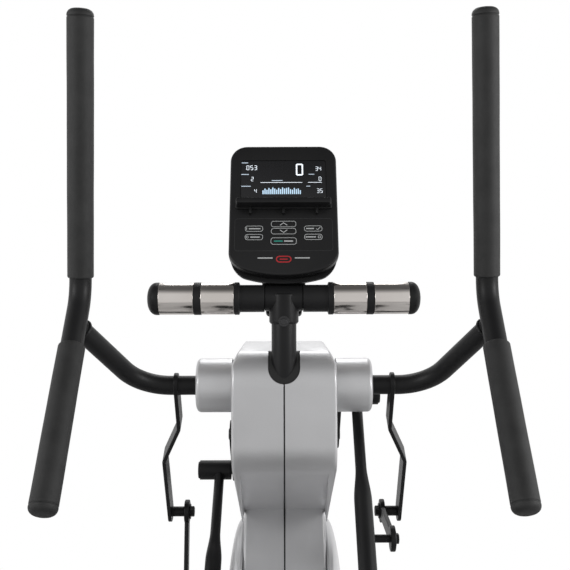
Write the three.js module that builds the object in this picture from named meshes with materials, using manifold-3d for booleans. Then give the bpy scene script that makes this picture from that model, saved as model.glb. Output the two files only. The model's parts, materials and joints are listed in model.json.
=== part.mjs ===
// Elliptical trainer: front drive with two hung pedal arms, swinging handlebars, a fixed pulse bar and a console.
// Millimetres, +Z up, +Y is the way the rider faces, +X the rider's right. The floor is z = 0 while it is built.
import * as THREE from 'three';
import * as BufferGeometryUtils from 'three/addons/utils/BufferGeometryUtils.js';
import Module from 'manifold-3d';

const wasm = await Module();
wasm.setup();

// ---------------------------------------------------------------- driving dimensions
const GAP = 0.3;                 // clearance between pieces that touch
const WALL = 3;                  // wall of moulded covers
const PIVOT_Z = 1020;            // height of the handlebar axle
const FRONT_Y = 380;             // front stabiliser, forward of the handlebar axle

const CRANK = { y: 190, z: PIVOT_Z - 110 };
const CRANK_R = 114;             // throw of the crank
const CRANK_REST = -45.7;        // degrees from forward to the left pin, the right one is opposite
const AXLE_R = 12.5;             // crank axle radius

const FLYWHEEL = { y: 150, z: PIVOT_Z - 480, r: 165, x: [46, 62] };
const BELT_X = [30, 42];
const PULLEY_R = 80;
const SMALL_PULLEY_R = 18;

const COVER_HALF = 80;           // half width of the upper housing
const NECK_HALF = COVER_HALF - 12;          // half width of the lower housing
const ARM_X = [COVER_HALF + 4, COVER_HALF + 17];   // crank arm, inner and outer face
const SEAM = 1.3;                // half of the groove between the two housing halves
const DRUM_R = 215;              // round lower housing
const DOME_R = 225;              // side cover over it
const DOME_DEPTH = 34;

const PIVOT_COVER_R = 42;
const PIVOT_COVER_X = [COVER_HALF + GAP, COVER_HALF + 56];
const HANDLE_AXLE_R = 10;
const AXLE_END = PIVOT_COVER_X[1] + 14;

const LEG_X = ARM_X[1] + 25;     // pedal arm, sideways
const LEG_R = 14;
const LEG_LENGTH = 1150;         // crank pin to roller axle
const LEVEL_PITCH = 45.6;        // lean of the pedal arm, from upright, at which the pedal is level
const STUB_DOWN = 235;           // link pin below the crank pin, along the arm
const STUB_FORE = 51;            // and in front of the arm
const SLEEVE_X = [ARM_X[1] + 3, ARM_X[1] + 63];
const SLEEVE_R = 18;

const ROLLER_R = 35;
const ROLLER_W = 26;
const ROLLER_Z = 110;
const RAIL_W = 40;

const PEDAL = { t: LEG_LENGTH - 380, length: 340, width: 140, height: 18, rim: 30, setback: 42 };

const LEVER_END = { y: 143, z: -236 };  // link pin from the handlebar axle
const LEVER_X = [SLEEVE_X[1] + 6, SLEEVE_X[1] + 35];   // inner face before and after the joggle
const LEVER_T = 6;
const LEVER_W = 35;
const LINK_X = [SLEEVE_X[1] + 5, SLEEVE_X[1] + 13];
const LINK_EYE = 20;
const LINK_PIN_R = 6;

const TUBE_R = 16;               // handlebar upright
const ARM_TUBE_R = 15;
const FOAM_R = 19;

const MAST_R = 19;
const HOOD_R = HANDLE_AXLE_R + 2 * MAST_R + WALL + 8;   // top of the hood, about the handlebar axle
const MAST_Y = MAST_R + WALL + 1 - HOOD_R;
const MAST_GATE = MAST_R + 5.4;  // half width of the opening round the mast
const BAR_Z = PIVOT_Z + 136.5;   // pulse bar
const BAR_R = 15.9;
const PULSE_R = 24.5;
const PULSE_X = [66.5, 208];
const PLATE_X = [[75, 126], [136.5, 190]];

const CONSOLE = { y: 0, z: PIVOT_Z + 277.5, lean: 66.9, width: 170, length: 229, front: 18, back: 27 };
const LCD = { width: 136, length: 68, v: 53 };

// ---------------------------------------------------------------- materials
const finish = (color, roughness, metalness) => new THREE.MeshStandardMaterial({ color, roughness, metalness });
const blackSteel = finish(0x1c1c1e, 0.4, 0.6);
const bareSteel = finish(0xb8b8b6, 0.3, 1.0);
const stainless = finish(0xc9c2bb, 0.22, 1.0);
const silverPlastic = finish(0xb4b6b9, 0.4, 0.3);
const darkPlastic = finish(0x232326, 0.5, 0.0);
const greyPlastic = finish(0x77797d, 0.5, 0.0);
const foam = finish(0x141415, 0.95, 0.0);
const rubber = finish(0x18181a, 0.9, 0.0);
const castIron = finish(0x3a3a3c, 0.6, 0.8);
const lcdGlass = finish(0x2c3440, 0.1, 0.0);
const keyCap = finish(0x333337, 0.6, 0.0);
const greenKey = finish(0x1e8f7d, 0.6, 0.0);

// ---------------------------------------------------------------- shape helpers
const machine = new THREE.Group();
const rad = THREE.MathUtils.degToRad;

function solid(geometry) {
  const bare = geometry.clone();
  bare.deleteAttribute('normal');
  bare.deleteAttribute('uv');
  const welded = BufferGeometryUtils.mergeVertices(bare, 1e-4);
  return new wasm.Manifold(new wasm.Mesh({
    numProp: 3,
    vertProperties: new Float32Array(welded.attributes.position.array),
    triVerts: new Uint32Array(welded.index.array),
  }));
}

function surface(manifold) {
  const mesh = manifold.getMesh();
  const geometry = new THREE.BufferGeometry();
  geometry.setAttribute('position', new THREE.BufferAttribute(mesh.vertProperties, 3));
  geometry.setIndex(new THREE.BufferAttribute(mesh.triVerts, 1));
  geometry.computeVertexNormals();
  return geometry;
}

// the first geometry joined with the others
function join(...geometries) {
  return surface(geometries.map(solid).reduce((a, b) => a.add(b)));
}

// the first geometry with the others cut away
function cut(first, ...others) {
  return surface(others.map(solid).reduce((a, b) => a.subtract(b), solid(first)));
}

function common(a, b) {
  return surface(solid(a).intersect(solid(b)));
}

function block(x, y, z) {
  return new THREE.BoxGeometry(x[1] - x[0], y[1] - y[0], z[1] - z[0])
    .translate((x[0] + x[1]) / 2, (y[0] + y[1]) / 2, (z[0] + z[1]) / 2);
}

// cylinder along X
function rod(r, x, y = 0, z = 0, sides = 20) {
  return new THREE.CylinderGeometry(r, r, x[1] - x[0], sides)
    .rotateZ(-Math.PI / 2).translate((x[0] + x[1]) / 2, y, z);
}

// cylinder along Z
function post(r, z, x = 0, y = 0, sides = 28) {
  return new THREE.CylinderGeometry(r, r, z[1] - z[0], sides)
    .rotateX(Math.PI / 2).translate(x, y, (z[0] + z[1]) / 2);
}

// plate with an outline drawn from the side, (y, z), between two X faces
function plate(shape, x, curveSegments = 12) {
  const geometry = new THREE.ExtrudeGeometry(shape, { depth: x[1] - x[0], bevelEnabled: false, curveSegments });
  const turn = new THREE.Matrix4().makeBasis(
    new THREE.Vector3(0, 1, 0), new THREE.Vector3(0, 0, 1), new THREE.Vector3(1, 0, 0));
  return geometry.applyMatrix4(turn).translate(x[0], 0, 0);
}

// body of revolution about X; the profile is a list of [x, radius] that starts and ends on the axis or closes,
// and it is run so that its inside is on the left, which turns the faces outwards
function turned(profile, y = 0, z = 0, sides = 28) {
  const points = profile.map(([x, r]) => new THREE.Vector2(r, x));
  if (THREE.ShapeUtils.area(points) < 0) points.reverse();
  return new THREE.LatheGeometry(points, sides).rotateZ(-Math.PI / 2).translate(0, y, z);
}

// ring about X with a rectangular section
function ring(rIn, rOut, x, y = 0, z = 0, sides = 28) {
  return turned([[x[0], rIn], [x[0], rOut], [x[1], rOut], [x[1], rIn], [x[0], rIn]], y, z, sides);
}

function mirrored(geometry) {
  const copy = (geometry.index ? geometry.toNonIndexed() : geometry.clone()).scale(-1, 1, 1);
  const p = copy.attributes.position;
  for (let i = 0; i < p.count; i += 3) {
    const [x, y, z] = [p.getX(i), p.getY(i), p.getZ(i)];
    p.setXYZ(i, p.getX(i + 1), p.getY(i + 1), p.getZ(i + 1));
    p.setXYZ(i + 1, x, y, z);
  }
  return copy;
}

// path of straight runs with round bends; its stations are only where the direction changes
class TubePath extends THREE.Curve {
  constructor(points, bend = 0, turns = 5) {
    super();
    this.stations = [points[0]];
    for (let i = 1; i < points.length - 1; i += 1) {
      const back = points[i - 1].clone().sub(points[i]).normalize();
      const on = points[i + 1].clone().sub(points[i]).normalize();
      const half = Math.acos(THREE.MathUtils.clamp(back.dot(on), -1, 1)) / 2;
      const reach = bend / Math.tan(half);
      const centre = points[i].clone().add(back.clone().add(on).normalize().multiplyScalar(bend / Math.sin(half)));
      const a = points[i].clone().addScaledVector(back, reach).sub(centre);
      const b = points[i].clone().addScaledVector(on, reach).sub(centre);
      const sweep = a.angleTo(b);
      const axis = a.clone().cross(b).normalize();
      for (let k = 0; k <= turns; k += 1) {
        this.stations.push(a.clone().applyAxisAngle(axis, sweep * k / turns).add(centre));
      }
    }
    this.stations.push(points[points.length - 1]);
  }

  getPoint(t, target = new THREE.Vector3()) {
    return target.copy(this.stations[Math.round(t * (this.stations.length - 1))]);
  }

  getPointAt(t, target) {
    return this.getPoint(t, target);
  }

  getTangentAt(t, target = new THREE.Vector3()) {
    const last = this.stations.length - 1;
    const i = Math.round(t * last);
    const before = this.stations[Math.max(i - 1, 0)];
    const after = this.stations[Math.min(i + 1, last)];
    const here = this.stations[i];
    const into = here.clone().sub(before).normalize();
    const out = after.clone().sub(here).normalize();
    return target.copy(into).add(out).normalize();
  }

  getSpacedPoints() {
    return this.stations;
  }
}

function pipe(path, r, sides = 16) {
  const circle = new THREE.Shape().absarc(0, 0, r, 0, 2 * Math.PI);
  return new THREE.ExtrudeGeometry(circle, {
    steps: path.stations.length - 1, extrudePath: path, curveSegments: sides / 2, bevelEnabled: false,
  });
}

function roundedRectangle(w, h, r) {
  const s = new THREE.Shape();
  s.absarc(w / 2 - r, h / 2 - r, r, 0, Math.PI / 2);
  s.absarc(-w / 2 + r, h / 2 - r, r, Math.PI / 2, Math.PI);
  s.absarc(-w / 2 + r, -h / 2 + r, r, Math.PI, 1.5 * Math.PI);
  s.absarc(w / 2 - r, -h / 2 + r, r, 1.5 * Math.PI, 2 * Math.PI);
  return s;
}

// slab in the XY plane with a rounded outline, between two Z faces
function slab(w, h, r, z, x = 0, y = 0, segments = 3) {
  return new THREE.ExtrudeGeometry(roundedRectangle(w, h, r), {
    depth: z[1] - z[0], bevelEnabled: false, curveSegments: segments,
  }).translate(x, y, z[0]);
}

// two round ends joined by straight flanks, seen from the side
function capsule(y0, z0, r0, y1, z1, r1) {
  const along = Math.atan2(z1 - z0, y1 - y0);
  const lean = Math.acos((r0 - r1) / Math.hypot(y1 - y0, z1 - z0));
  const s = new THREE.Shape();
  s.absarc(y0, z0, r0, along + lean, along - lean + 2 * Math.PI);
  s.absarc(y1, z1, r1, along - lean, along + lean);
  return s;
}

function add(name, geometry, material, parent = machine) {
  const mesh = new THREE.Mesh(geometry, material);
  mesh.name = name;
  parent.add(mesh);
  return mesh;
}

const SIDES = [['left', -1], ['right', 1]];
const sided = (geometry, sign) => (sign > 0 ? geometry : mirrored(geometry));

// ---------------------------------------------------------------- where the linkage stands at rest
const pinAngle = { left: rad(CRANK_REST), right: rad(CRANK_REST + 180) };

function crankPin(side) {
  const a = pinAngle[side];
  return { y: CRANK.y + CRANK_R * Math.cos(a), z: CRANK.z + CRANK_R * Math.sin(a) };
}

// lean of a pedal arm from upright, from its crank pin to its roller on the rail
function armLean(side) {
  return Math.acos((crankPin(side).z - ROLLER_Z) / LEG_LENGTH);
}

function rollerY(side) {
  return crankPin(side).y - LEG_LENGTH * Math.sin(armLean(side));
}

// ---------------------------------------------------------------- base
const STROKE = 2 * CRANK_R * Math.sin(Math.PI / 4);      // travel of a roller over a quarter turn
const RAIL_SPARE = ROLLER_R + 21;
const STAB = { w: 50, z: [15, 45], front: 290, rear: 260, wall: 2.5 };
const BEAM = { w: 60, z: [STAB.z[1] + GAP, STAB.z[1] + GAP + 50], wall: 2.5 };
const RAIL_Z = [STAB.z[1] + 2 * GAP, ROLLER_Z - ROLLER_R - GAP];
const RAIL_Y = [
  Math.min(rollerY('left'), rollerY('right')) - STROKE - RAIL_SPARE,
  Math.max(rollerY('left'), rollerY('right')) + STROKE + RAIL_SPARE,
];
const REAR_Y = RAIL_Y[0] + 45;   // rear stabiliser
const WHEEL = { r: 28, w: 22, x: 230, y: FRONT_Y + 57, z: 36, axle: 5 };

function stabiliser(half, y) {
  const yy = [y - STAB.w / 2, y + STAB.w / 2];
  return cut(block([-half, half], yy, STAB.z),
    block([-half - 1, half + 1], [yy[0] + STAB.wall, yy[1] - STAB.wall],
      [STAB.z[0] + STAB.wall, STAB.z[1] - STAB.wall]));
}

function wheelFork(sign) {
  const inner = WHEEL.x - WHEEL.w / 2 - 5;
  const outer = WHEEL.x + WHEEL.w / 2 + 5;
  const lug = (x) => block([x - 2, x + 2], [FRONT_Y + STAB.w / 2 - 1, WHEEL.y + 9], [WHEEL.z - 9, WHEEL.z + 9]);
  const fork = join(lug(inner), lug(outer), rod(WHEEL.axle, [inner, outer], WHEEL.y, WHEEL.z, 16));
  return sided(fork, sign);
}

function foot(sign, half, y) {
  const x = [half - 28, half + 6];
  const shell = cut(block(x, [y - STAB.w / 2 - 5, y + STAB.w / 2 + 5], [0, STAB.z[1] + 4]),
    block([x[0] - 1, half + GAP], [y - STAB.w / 2 - GAP, y + STAB.w / 2 + GAP],
      [STAB.z[0] - GAP, STAB.z[1] + GAP]));
  return sided(shell, sign);
}

add('front_stabiliser', join(stabiliser(STAB.front, FRONT_Y), wheelFork(1), wheelFork(-1)), blackSteel);
add('rear_stabiliser', stabiliser(STAB.rear, REAR_Y), blackSteel);

const CROSS_Y = [RAIL_Y[1] - 45, RAIL_Y[1] - 5];
const beamY = [REAR_Y - 20, FRONT_Y + 20];
add('main_beam', cut(
  join(block([-BEAM.w / 2, BEAM.w / 2], beamY, BEAM.z),
    block([-LEG_X - 28, LEG_X + 28], CROSS_Y, [STAB.z[0], STAB.z[1] + GAP]),
    block([-25, 25], CROSS_Y, [STAB.z[0] + 5, BEAM.z[0] + 5])),
  block([-BEAM.w / 2 + BEAM.wall, BEAM.w / 2 - BEAM.wall], [beamY[0] - 1, beamY[1] + 1],
    [BEAM.z[0] + BEAM.wall, BEAM.z[1] - BEAM.wall])), blackSteel);

for (const [side, sign] of SIDES) {
  add(`front_${side}_foot`, foot(sign, STAB.front, FRONT_Y), rubber);
  add(`rear_${side}_foot`, foot(sign, STAB.rear, REAR_Y), rubber);
  const x = [LEG_X - RAIL_W / 2, LEG_X + RAIL_W / 2];
  const rail = cut(
    join(block(x, RAIL_Y, RAIL_Z), block(x, [RAIL_Y[0], RAIL_Y[0] + 8], [RAIL_Z[0], RAIL_Z[1] + 12]),
      block(x, [RAIL_Y[1] - 8, RAIL_Y[1]], [RAIL_Z[0], RAIL_Z[1] + 12])),
    block([x[0] + 3, x[1] - 3], [RAIL_Y[0] - 1, RAIL_Y[1] + 1], [RAIL_Z[0] - 1, RAIL_Z[1] - 3]));
  add(`${side}_rail`, sided(rail, sign), bareSteel);
  add(`${side}_transport_wheel`,
    sided(ring(WHEEL.axle + 0.4, WHEEL.r, [WHEEL.x - WHEEL.w / 2, WHEEL.x + WHEEL.w / 2], WHEEL.y, WHEEL.z, 32), sign),
    rubber);
}

// ---------------------------------------------------------------- column inside the housing
const COLUMN = { half: 25, y: [FLYWHEEL.y - 25, FLYWHEEL.y + 25], wall: 3 };
const MAST_FOOT = PIVOT_Z - 41;
const OPENING_Y = MAST_Y + MAST_R + 2.5;   // forward edge of the mast opening

function columnOutline() {
  const p = (y, z) => new THREE.Vector2(y, z);
  return new THREE.Shape([
    p(MAST_Y - MAST_R + 3, MAST_FOOT - GAP), p(MAST_Y - MAST_R + 3, PIVOT_Z - 85), p(MAST_Y + 6, PIVOT_Z - 115),
    p(COLUMN.y[0], PIVOT_Z - 205),
    p(COLUMN.y[0], BEAM.z[1] + GAP), p(COLUMN.y[1], BEAM.z[1] + GAP), p(COLUMN.y[1], PIVOT_Z - 200),
    p(CRANK.y, CRANK.z - 32), p(CRANK.y + 32, CRANK.z), p(CRANK.y, CRANK.z + 32), p(60, PIVOT_Z - 50),
    p(20, PIVOT_Z + 20), p(OPENING_Y + 1, PIVOT_Z + 20), p(OPENING_Y + 1, PIVOT_Z), p(MAST_Y + MAST_R + GAP, PIVOT_Z),
    p(MAST_Y + MAST_R + GAP, MAST_FOOT - GAP),
  ].reverse());
}

add('column_frame', cut(plate(columnOutline(), [-COLUMN.half, COLUMN.half]),
  block([-COLUMN.half + COLUMN.wall, COLUMN.half - COLUMN.wall],
    [COLUMN.y[0] + COLUMN.wall, COLUMN.y[1] - COLUMN.wall], [BEAM.z[1] - 5, PIVOT_Z - 230]),
  rod(HANDLE_AXLE_R + GAP, [-40, 40], 0, PIVOT_Z, 32),
  rod(AXLE_R + 0.5, [-40, 40], CRANK.y, CRANK.z, 32),
  rod(HANDLE_AXLE_R + 0.5, [-40, 40], FLYWHEEL.y, FLYWHEEL.z, 32)), blackSteel);

// ---------------------------------------------------------------- housing
const FACE_Y = -HOOD_R;          // rider's side of the hood
const TOP_Z = PIVOT_Z + 54.7;
const FRONT_FACE = 333;
const NOSE_R = 62;
const NECK_Y = 106;              // rider's side of the narrow lower housing
const NECK_Z = PIVOT_Z - 226;

// hood outline, drawn in by an inset; the nose arc stops at an angle and the under-face leaves from there
function hoodOutline(inset, noseStop, underY) {
  const s = new THREE.Shape();
  const top = TOP_Z - inset;
  const r = -FACE_Y - inset;
  const lift = Math.asin(Math.min(1, (top - PIVOT_Z) / r));
  const front = 120 - inset;
  s.moveTo(underY + inset, NECK_Z + inset);
  s.lineTo(FRONT_FACE - inset, NECK_Z + inset);
  s.absarc(FRONT_FACE - 120, TOP_Z - 120, front, 0, Math.PI / 2);
  s.absarc(0, PIVOT_Z, r, Math.PI - lift, Math.PI);
  s.absarc(FACE_Y + NOSE_R, PIVOT_Z - 85, NOSE_R - inset, Math.PI, Math.PI + rad(noseStop));
  return s;
}

function lowerOutline(inset, low) {
  const drum = new THREE.Shape().absarc(FLYWHEEL.y, FLYWHEEL.z, DRUM_R - inset, 0, 2 * Math.PI);
  return { drum, neck: [NECK_Y + inset, FRONT_FACE - inset], skirt: [60 + inset, 240 - inset], low };
}

function lowerBody(inset, x, low) {
  const o = lowerOutline(inset, low);
  return join(plate(o.drum, x, 12), block(x, o.neck, [FLYWHEEL.z, NECK_Z + 12]),
    block(x, o.skirt, [o.low, FLYWHEEL.z]));
}

function housingHalf() {
  const outer = join(
    plate(hoodOutline(0, 60, NECK_Y), [SEAM, NECK_HALF + 1], 6),
    plate(hoodOutline(0, 45, 40), [NECK_HALF, COVER_HALF - 7], 6),
    plate(hoodOutline(4, 45, 40), [NECK_HALF, COVER_HALF], 6),
    lowerBody(0, [SEAM, NECK_HALF], BEAM.z[1] + 5));
  const inner = join(
    plate(hoodOutline(WALL, 60, NECK_Y), [-1, NECK_HALF - WALL + 0.5], 6),
    plate(hoodOutline(WALL + 5, 55, NECK_Y + 10), [NECK_HALF - WALL, COVER_HALF - WALL], 6),
    lowerBody(WALL, [-1, NECK_HALF - WALL], BEAM.z[1] - 10));
  return cut(outer, inner,
    block([-1, MAST_GATE], [FACE_Y - 5, OPENING_Y], [PIVOT_Z + 7, TOP_Z + 5]),
    rod(HANDLE_AXLE_R + 3, [40, COVER_HALF + 20], 0, PIVOT_Z, 28),
    rod(AXLE_R + 4, [40, COVER_HALF + 20], CRANK.y, CRANK.z, 28));
}

const half = housingHalf();
add('right_housing_shell', half, silverPlastic);
add('left_housing_shell', mirrored(half), silverPlastic);

function dome() {
  const profile = [];
  const x0 = NECK_HALF + GAP;
  const rings = 4;
  for (let k = 0; k <= rings; k += 1) {
    const a = (k / rings) * Math.PI / 2;
    profile.push([x0 + 6 + (DOME_DEPTH - 6) * Math.cos(a), DOME_R * Math.sin(a)]);
  }
  profile.push([x0, DOME_R], [x0, DOME_R - WALL]);
  for (let k = rings; k >= 0; k -= 1) {
    const a = (k / rings) * Math.PI / 2;
    profile.push([x0 + 6 + (DOME_DEPTH - 6 - WALL) * Math.cos(a), (DOME_R - WALL) * Math.sin(a)]);
  }
  return turned(profile, FLYWHEEL.y, FLYWHEEL.z, 36);
}

const domeRight = dome();
add('right_side_cover', domeRight, silverPlastic);
add('left_side_cover', mirrored(domeRight), silverPlastic);

function pivotCover() {
  const [x0, x1] = PIVOT_COVER_X;
  const hole = ARM_TUBE_R + 1;
  return turned([
    [x0, PIVOT_COVER_R], [x0, PIVOT_COVER_R - WALL], [x1 - WALL, PIVOT_COVER_R - WALL], [x1 - WALL, hole],
    [x1, hole], [x1, PIVOT_COVER_R - 7], [x1 - 2, PIVOT_COVER_R - 2], [x1 - 7, PIVOT_COVER_R], [x0, PIVOT_COVER_R],
  ], 0, PIVOT_Z, 28);
}

for (const [side, sign] of SIDES) add(`${side}_pivot_cover`, sided(pivotCover(), sign), silverPlastic);
add('handlebar_axle', rod(HANDLE_AXLE_R, [-AXLE_END, AXLE_END], 0, PIVOT_Z, 32), bareSteel);

// ---------------------------------------------------------------- mast, pulse bar
add('mast_tube', cut(post(MAST_R, [MAST_FOOT, BAR_Z - BAR_R - 6], 0, MAST_Y, 24),
  post(MAST_R - 2, [MAST_FOOT - 1, BAR_Z], 0, MAST_Y, 24)), blackSteel);

add('mast_gasket', cut(
  common(plate(hoodOutline(1, 60, NECK_Y), [-MAST_GATE + GAP, MAST_GATE - GAP], 6),
    block([-MAST_GATE, MAST_GATE], [FACE_Y - 5, OPENING_Y - GAP], [PIVOT_Z + 7 + GAP, TOP_Z + 5])),
  post(MAST_R + 0.5, [PIVOT_Z, TOP_Z + 10], 0, MAST_Y, 24)), rubber);

const consoleFrame = new THREE.Matrix4().makeRotationX(rad(CONSOLE.lean)).setPosition(0, CONSOLE.y, CONSOLE.z);
const BACK_N = -CONSOLE.front - CONSOLE.back - GAP;   // rear face of the console, from its front

function teeHead() {
  const neck = block([-28, 28], [-160, -40], [BACK_N - 14 - GAP, BACK_N - GAP]).applyMatrix4(consoleFrame);
  const body = join(rod(MAST_R + 0.3, [-29, 29], MAST_Y, BAR_Z, 24),
    post(MAST_R + 2.4, [PIVOT_Z + 98, BAR_Z], 0, MAST_Y, 24),
    block([-20, 20], [MAST_Y, 0], [BAR_Z - 12, BAR_Z + 12]), neck);
  return cut(body, rod(BAR_R + GAP, [-40, 40], MAST_Y, BAR_Z, 20),
    post(MAST_R + GAP, [PIVOT_Z + 80, BAR_Z - BAR_R - 5], 0, MAST_Y, 24));
}

add('tee_head', teeHead(), blackSteel);
add('pulse_bar', rod(BAR_R, [-PULSE_X[1] + 8, PULSE_X[1] - 8], MAST_Y, BAR_Z, 20), blackSteel);

function pulseGrip() {
  const seat = PULSE_R - 1.6;
  const [p, q] = PLATE_X;
  const outer = turned([
    [32, 0], [32, 20.75], [PULSE_X[0], 20.75], [PULSE_X[0] + 2, PULSE_R], [p[0], PULSE_R], [p[0], seat],
    [p[1], seat], [p[1], PULSE_R], [q[0], PULSE_R], [q[0], seat], [q[1], seat], [q[1], PULSE_R],
    [PULSE_X[1] - 12, PULSE_R], [PULSE_X[1] - 5, PULSE_R - 4], [PULSE_X[1] - 1.5, PULSE_R - 11], [PULSE_X[1], 0],
  ], MAST_Y, BAR_Z, 20);
  return cut(outer, rod(BAR_R + GAP, [20, PULSE_X[1] - 7.5], MAST_Y, BAR_Z, 20));
}

for (const [side, sign] of SIDES) {
  add(`${side}_pulse_grip`, sided(pulseGrip(), sign), darkPlastic);
  PLATE_X.forEach((x, i) => {
    const name = `${side}_${i ? 'outer' : 'inner'}_pulse_plate`;
    const sleeve = ring(PULSE_R - 1.6 + GAP, PULSE_R, [x[0] + GAP, x[1] - GAP], MAST_Y, BAR_Z, 20);
    add(name, sided(sleeve, sign), stainless);
  });
}

// ---------------------------------------------------------------- console
const panel = new THREE.Group();
panel.position.set(0, CONSOLE.y, CONSOLE.z);
panel.rotation.x = rad(CONSOLE.lean);
machine.add(panel);

const KEYS = [
  // name, centre across, centre up, width, height, material
  ['upper_left_key', -46, -36, 29, 11, keyCap],
  ['lower_left_key', -46, -50.5, 29, 11, keyCap],
  ['upper_right_key', 46, -36, 29, 11, keyCap],
  ['lower_right_key', 46, -50.5, 29, 11, keyCap],
  ['up_key', 0, -28, 40, 11.4, keyCap],
  ['down_key', 0, -40.4, 40, 11.4, keyCap],
  ['start_key', 0, -57.5, 41, 13, greenKey],
];

function consoleFront() {
  const { width, length, front } = CONSOLE;
  const holes = KEYS.map(([, x, y, w, h]) => slab(w + 2 * GAP, h + 2 * GAP, 3, [-6, 3], x, y, 2));
  return cut(slab(width, length, 27, [-front, 0]),
    slab(width - 2 * WALL, length - 2 * WALL, 24, [-front - 1, -WALL]),
    slab(LCD.width + 2 * GAP, LCD.length + 2 * GAP, 4, [-6, 3], 0, LCD.v, 3), ...holes);
}

function consoleBack() {
  const { width, length, front, back } = CONSOLE;
  const z = [BACK_N, -front - GAP];
  return cut(join(slab(width - 6, length - 6, 25, [z[1] - 10, z[1]]), slab(width - 26, length - 30, 20, [z[0], z[1]])),
    slab(width - 12, length - 12, 22, [z[1] - 10 + WALL, z[1] + 1]),
    slab(width - 26 - 2 * WALL, length - 30 - 2 * WALL, 17, [z[0] + WALL, z[1]]));
}

add('console_front', consoleFront(), darkPlastic, panel);
add('console_back', consoleBack(), darkPlastic, panel);
add('display_window', slab(LCD.width, LCD.length, 4, [-WALL, -0.8], 0, LCD.v, 3), lcdGlass, panel);

function ledge() {
  const ribs = [-1, 0, 1].map((k) => block([k * 36 - 6, k * 36 + 6], [6, 10.5], [GAP, 14]));
  return join(slab(148, 9, 4, [GAP, 22], 0, 3.5, 4), block([-74, 74], [0, 12], [GAP, 5]), ...ribs);
}

add('tablet_ledge', ledge(), darkPlastic, panel);
for (const [name, x, y, w, h, material] of KEYS) {
  add(name, slab(w, h, 3, [-3, 1], x, y, 2), material, panel);
}

// ---------------------------------------------------------------- crank, pulley, belt, flywheel
add('crank_axle', rod(AXLE_R, [-ARM_X[1], ARM_X[1]], CRANK.y, CRANK.z, 32), bareSteel);
add('drive_pulley', ring(AXLE_R + GAP, PULLEY_R, BELT_X, CRANK.y, CRANK.z, 28), greyPlastic);

function beltLoop(offset) {
  return capsule(CRANK.y, CRANK.z, PULLEY_R + offset, FLYWHEEL.y, FLYWHEEL.z, SMALL_PULLEY_R + offset);
}

add('drive_belt', cut(plate(beltLoop(3.5), [BELT_X[0] + 1, BELT_X[1] - 1], 14),
  plate(beltLoop(0.4), [BELT_X[0] - 1, BELT_X[1] + 1], 14)), rubber);

add('flywheel', turned([
  [-32, 0], [-32, HANDLE_AXLE_R], [BELT_X[0], HANDLE_AXLE_R], [BELT_X[0], SMALL_PULLEY_R],
  [FLYWHEEL.x[0] - 2, SMALL_PULLEY_R], [FLYWHEEL.x[0] - 2, 30], [FLYWHEEL.x[0] + 3, 30],
  [FLYWHEEL.x[0] + 3, FLYWHEEL.r - 30], [FLYWHEEL.x[0], FLYWHEEL.r - 25], [FLYWHEEL.x[0], FLYWHEEL.r],
  [FLYWHEEL.x[1], FLYWHEEL.r], [FLYWHEEL.x[1], 0],
], FLYWHEEL.y, FLYWHEEL.z, 32), castIron);

for (const [side, sign] of SIDES) {
  const pin = crankPin(side);
  const arm = cut(plate(capsule(CRANK.y, CRANK.z, 25, pin.y, pin.z, 20), ARM_X, 10),
    rod(AXLE_R + GAP, [ARM_X[0] - 5, ARM_X[1] + 5], CRANK.y, CRANK.z, 32));
  add(`${side}_crank_arm`, sided(arm, sign), blackSteel);
}

// ---------------------------------------------------------------- pedal arms: x outwards, hung down from the crank pin
function sideTurn(degrees, y, z) {
  return new THREE.Matrix4().makeRotationX(rad(degrees)).setPosition(0, y, z);
}

const FORK = { x: [LEG_X - ROLLER_W / 2 - 7, LEG_X + ROLLER_W / 2 + 7], t: 5 };
const PEDAL_FRAME = sideTurn(LEVEL_PITCH, 0, -PEDAL.t);

function pedalGusset() {
  const under = -PEDAL.height - GAP;
  const shape = new THREE.Shape([
    new THREE.Vector2(-18, under), new THREE.Vector2(-PEDAL.setback - 230, under),
    new THREE.Vector2(-PEDAL.setback - 230, under - 14), new THREE.Vector2(-190, -190),
    new THREE.Vector2(-150, -150)]);
  return plate(shape, [LEG_X - 7, LEG_X + 7]).applyMatrix4(PEDAL_FRAME);
}

function pedalArm() {
  const taper = new THREE.CylinderGeometry(8.7, LEG_R - 0.4, 200, 16).rotateX(Math.PI / 2).translate(LEG_X, 0, -100);
  const tubeEnd = -LEG_LENGTH + ROLLER_R + 20;
  const tube = post(LEG_R, [tubeEnd, -192], LEG_X, 0, 16);
  const sleeve = rod(SLEEVE_R, SLEEVE_X, 0, 0, 24);
  const cap = rod(SLEEVE_R - 5, [SLEEVE_X[1] - 1, SLEEVE_X[1] + 2], 0, 0, 20);
  const pin = rod(8, [ARM_X[1] + 0.5, SLEEVE_X[0] + 1], 0, 0, 20);
  const lug = plate(capsule(0, -STUB_DOWN + 6, 12, STUB_FORE, -STUB_DOWN, 9), [LEG_X - 4, LEG_X + 4], 8);
  const stub = rod(LINK_PIN_R + 0.3, [LEG_X - 4, LINK_X[0] - GAP], STUB_FORE, -STUB_DOWN, 20);
  const bridge = block([FORK.x[0], FORK.x[1]], [-16, 16], [tubeEnd - 1, tubeEnd + 9]);
  const cheeks = [FORK.x[0], FORK.x[1] - FORK.t].map((x) => plate(
    capsule(0, -LEG_LENGTH, 16, 0, tubeEnd + 1, 14), [x, x + FORK.t], 8));
  const axle = rod(LINK_PIN_R, [FORK.x[0] + 1, FORK.x[1] - 1], 0, -LEG_LENGTH, 20);
  return join(taper, tube, sleeve, cap, pin, lug, stub, bridge, ...cheeks, axle, pedalGusset());
}

function pedal() {
  const { width, length, height, rim, setback } = PEDAL;
  const centre = -setback - length / 2;
  const tray = slab(width, length, 30, [-height, rim - height], LEG_X, centre, 6);
  const well = slab(width - 14, length - 14, 24, [-height + 12, rim], LEG_X, centre, 6);
  return cut(tray, well);
}

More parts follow.
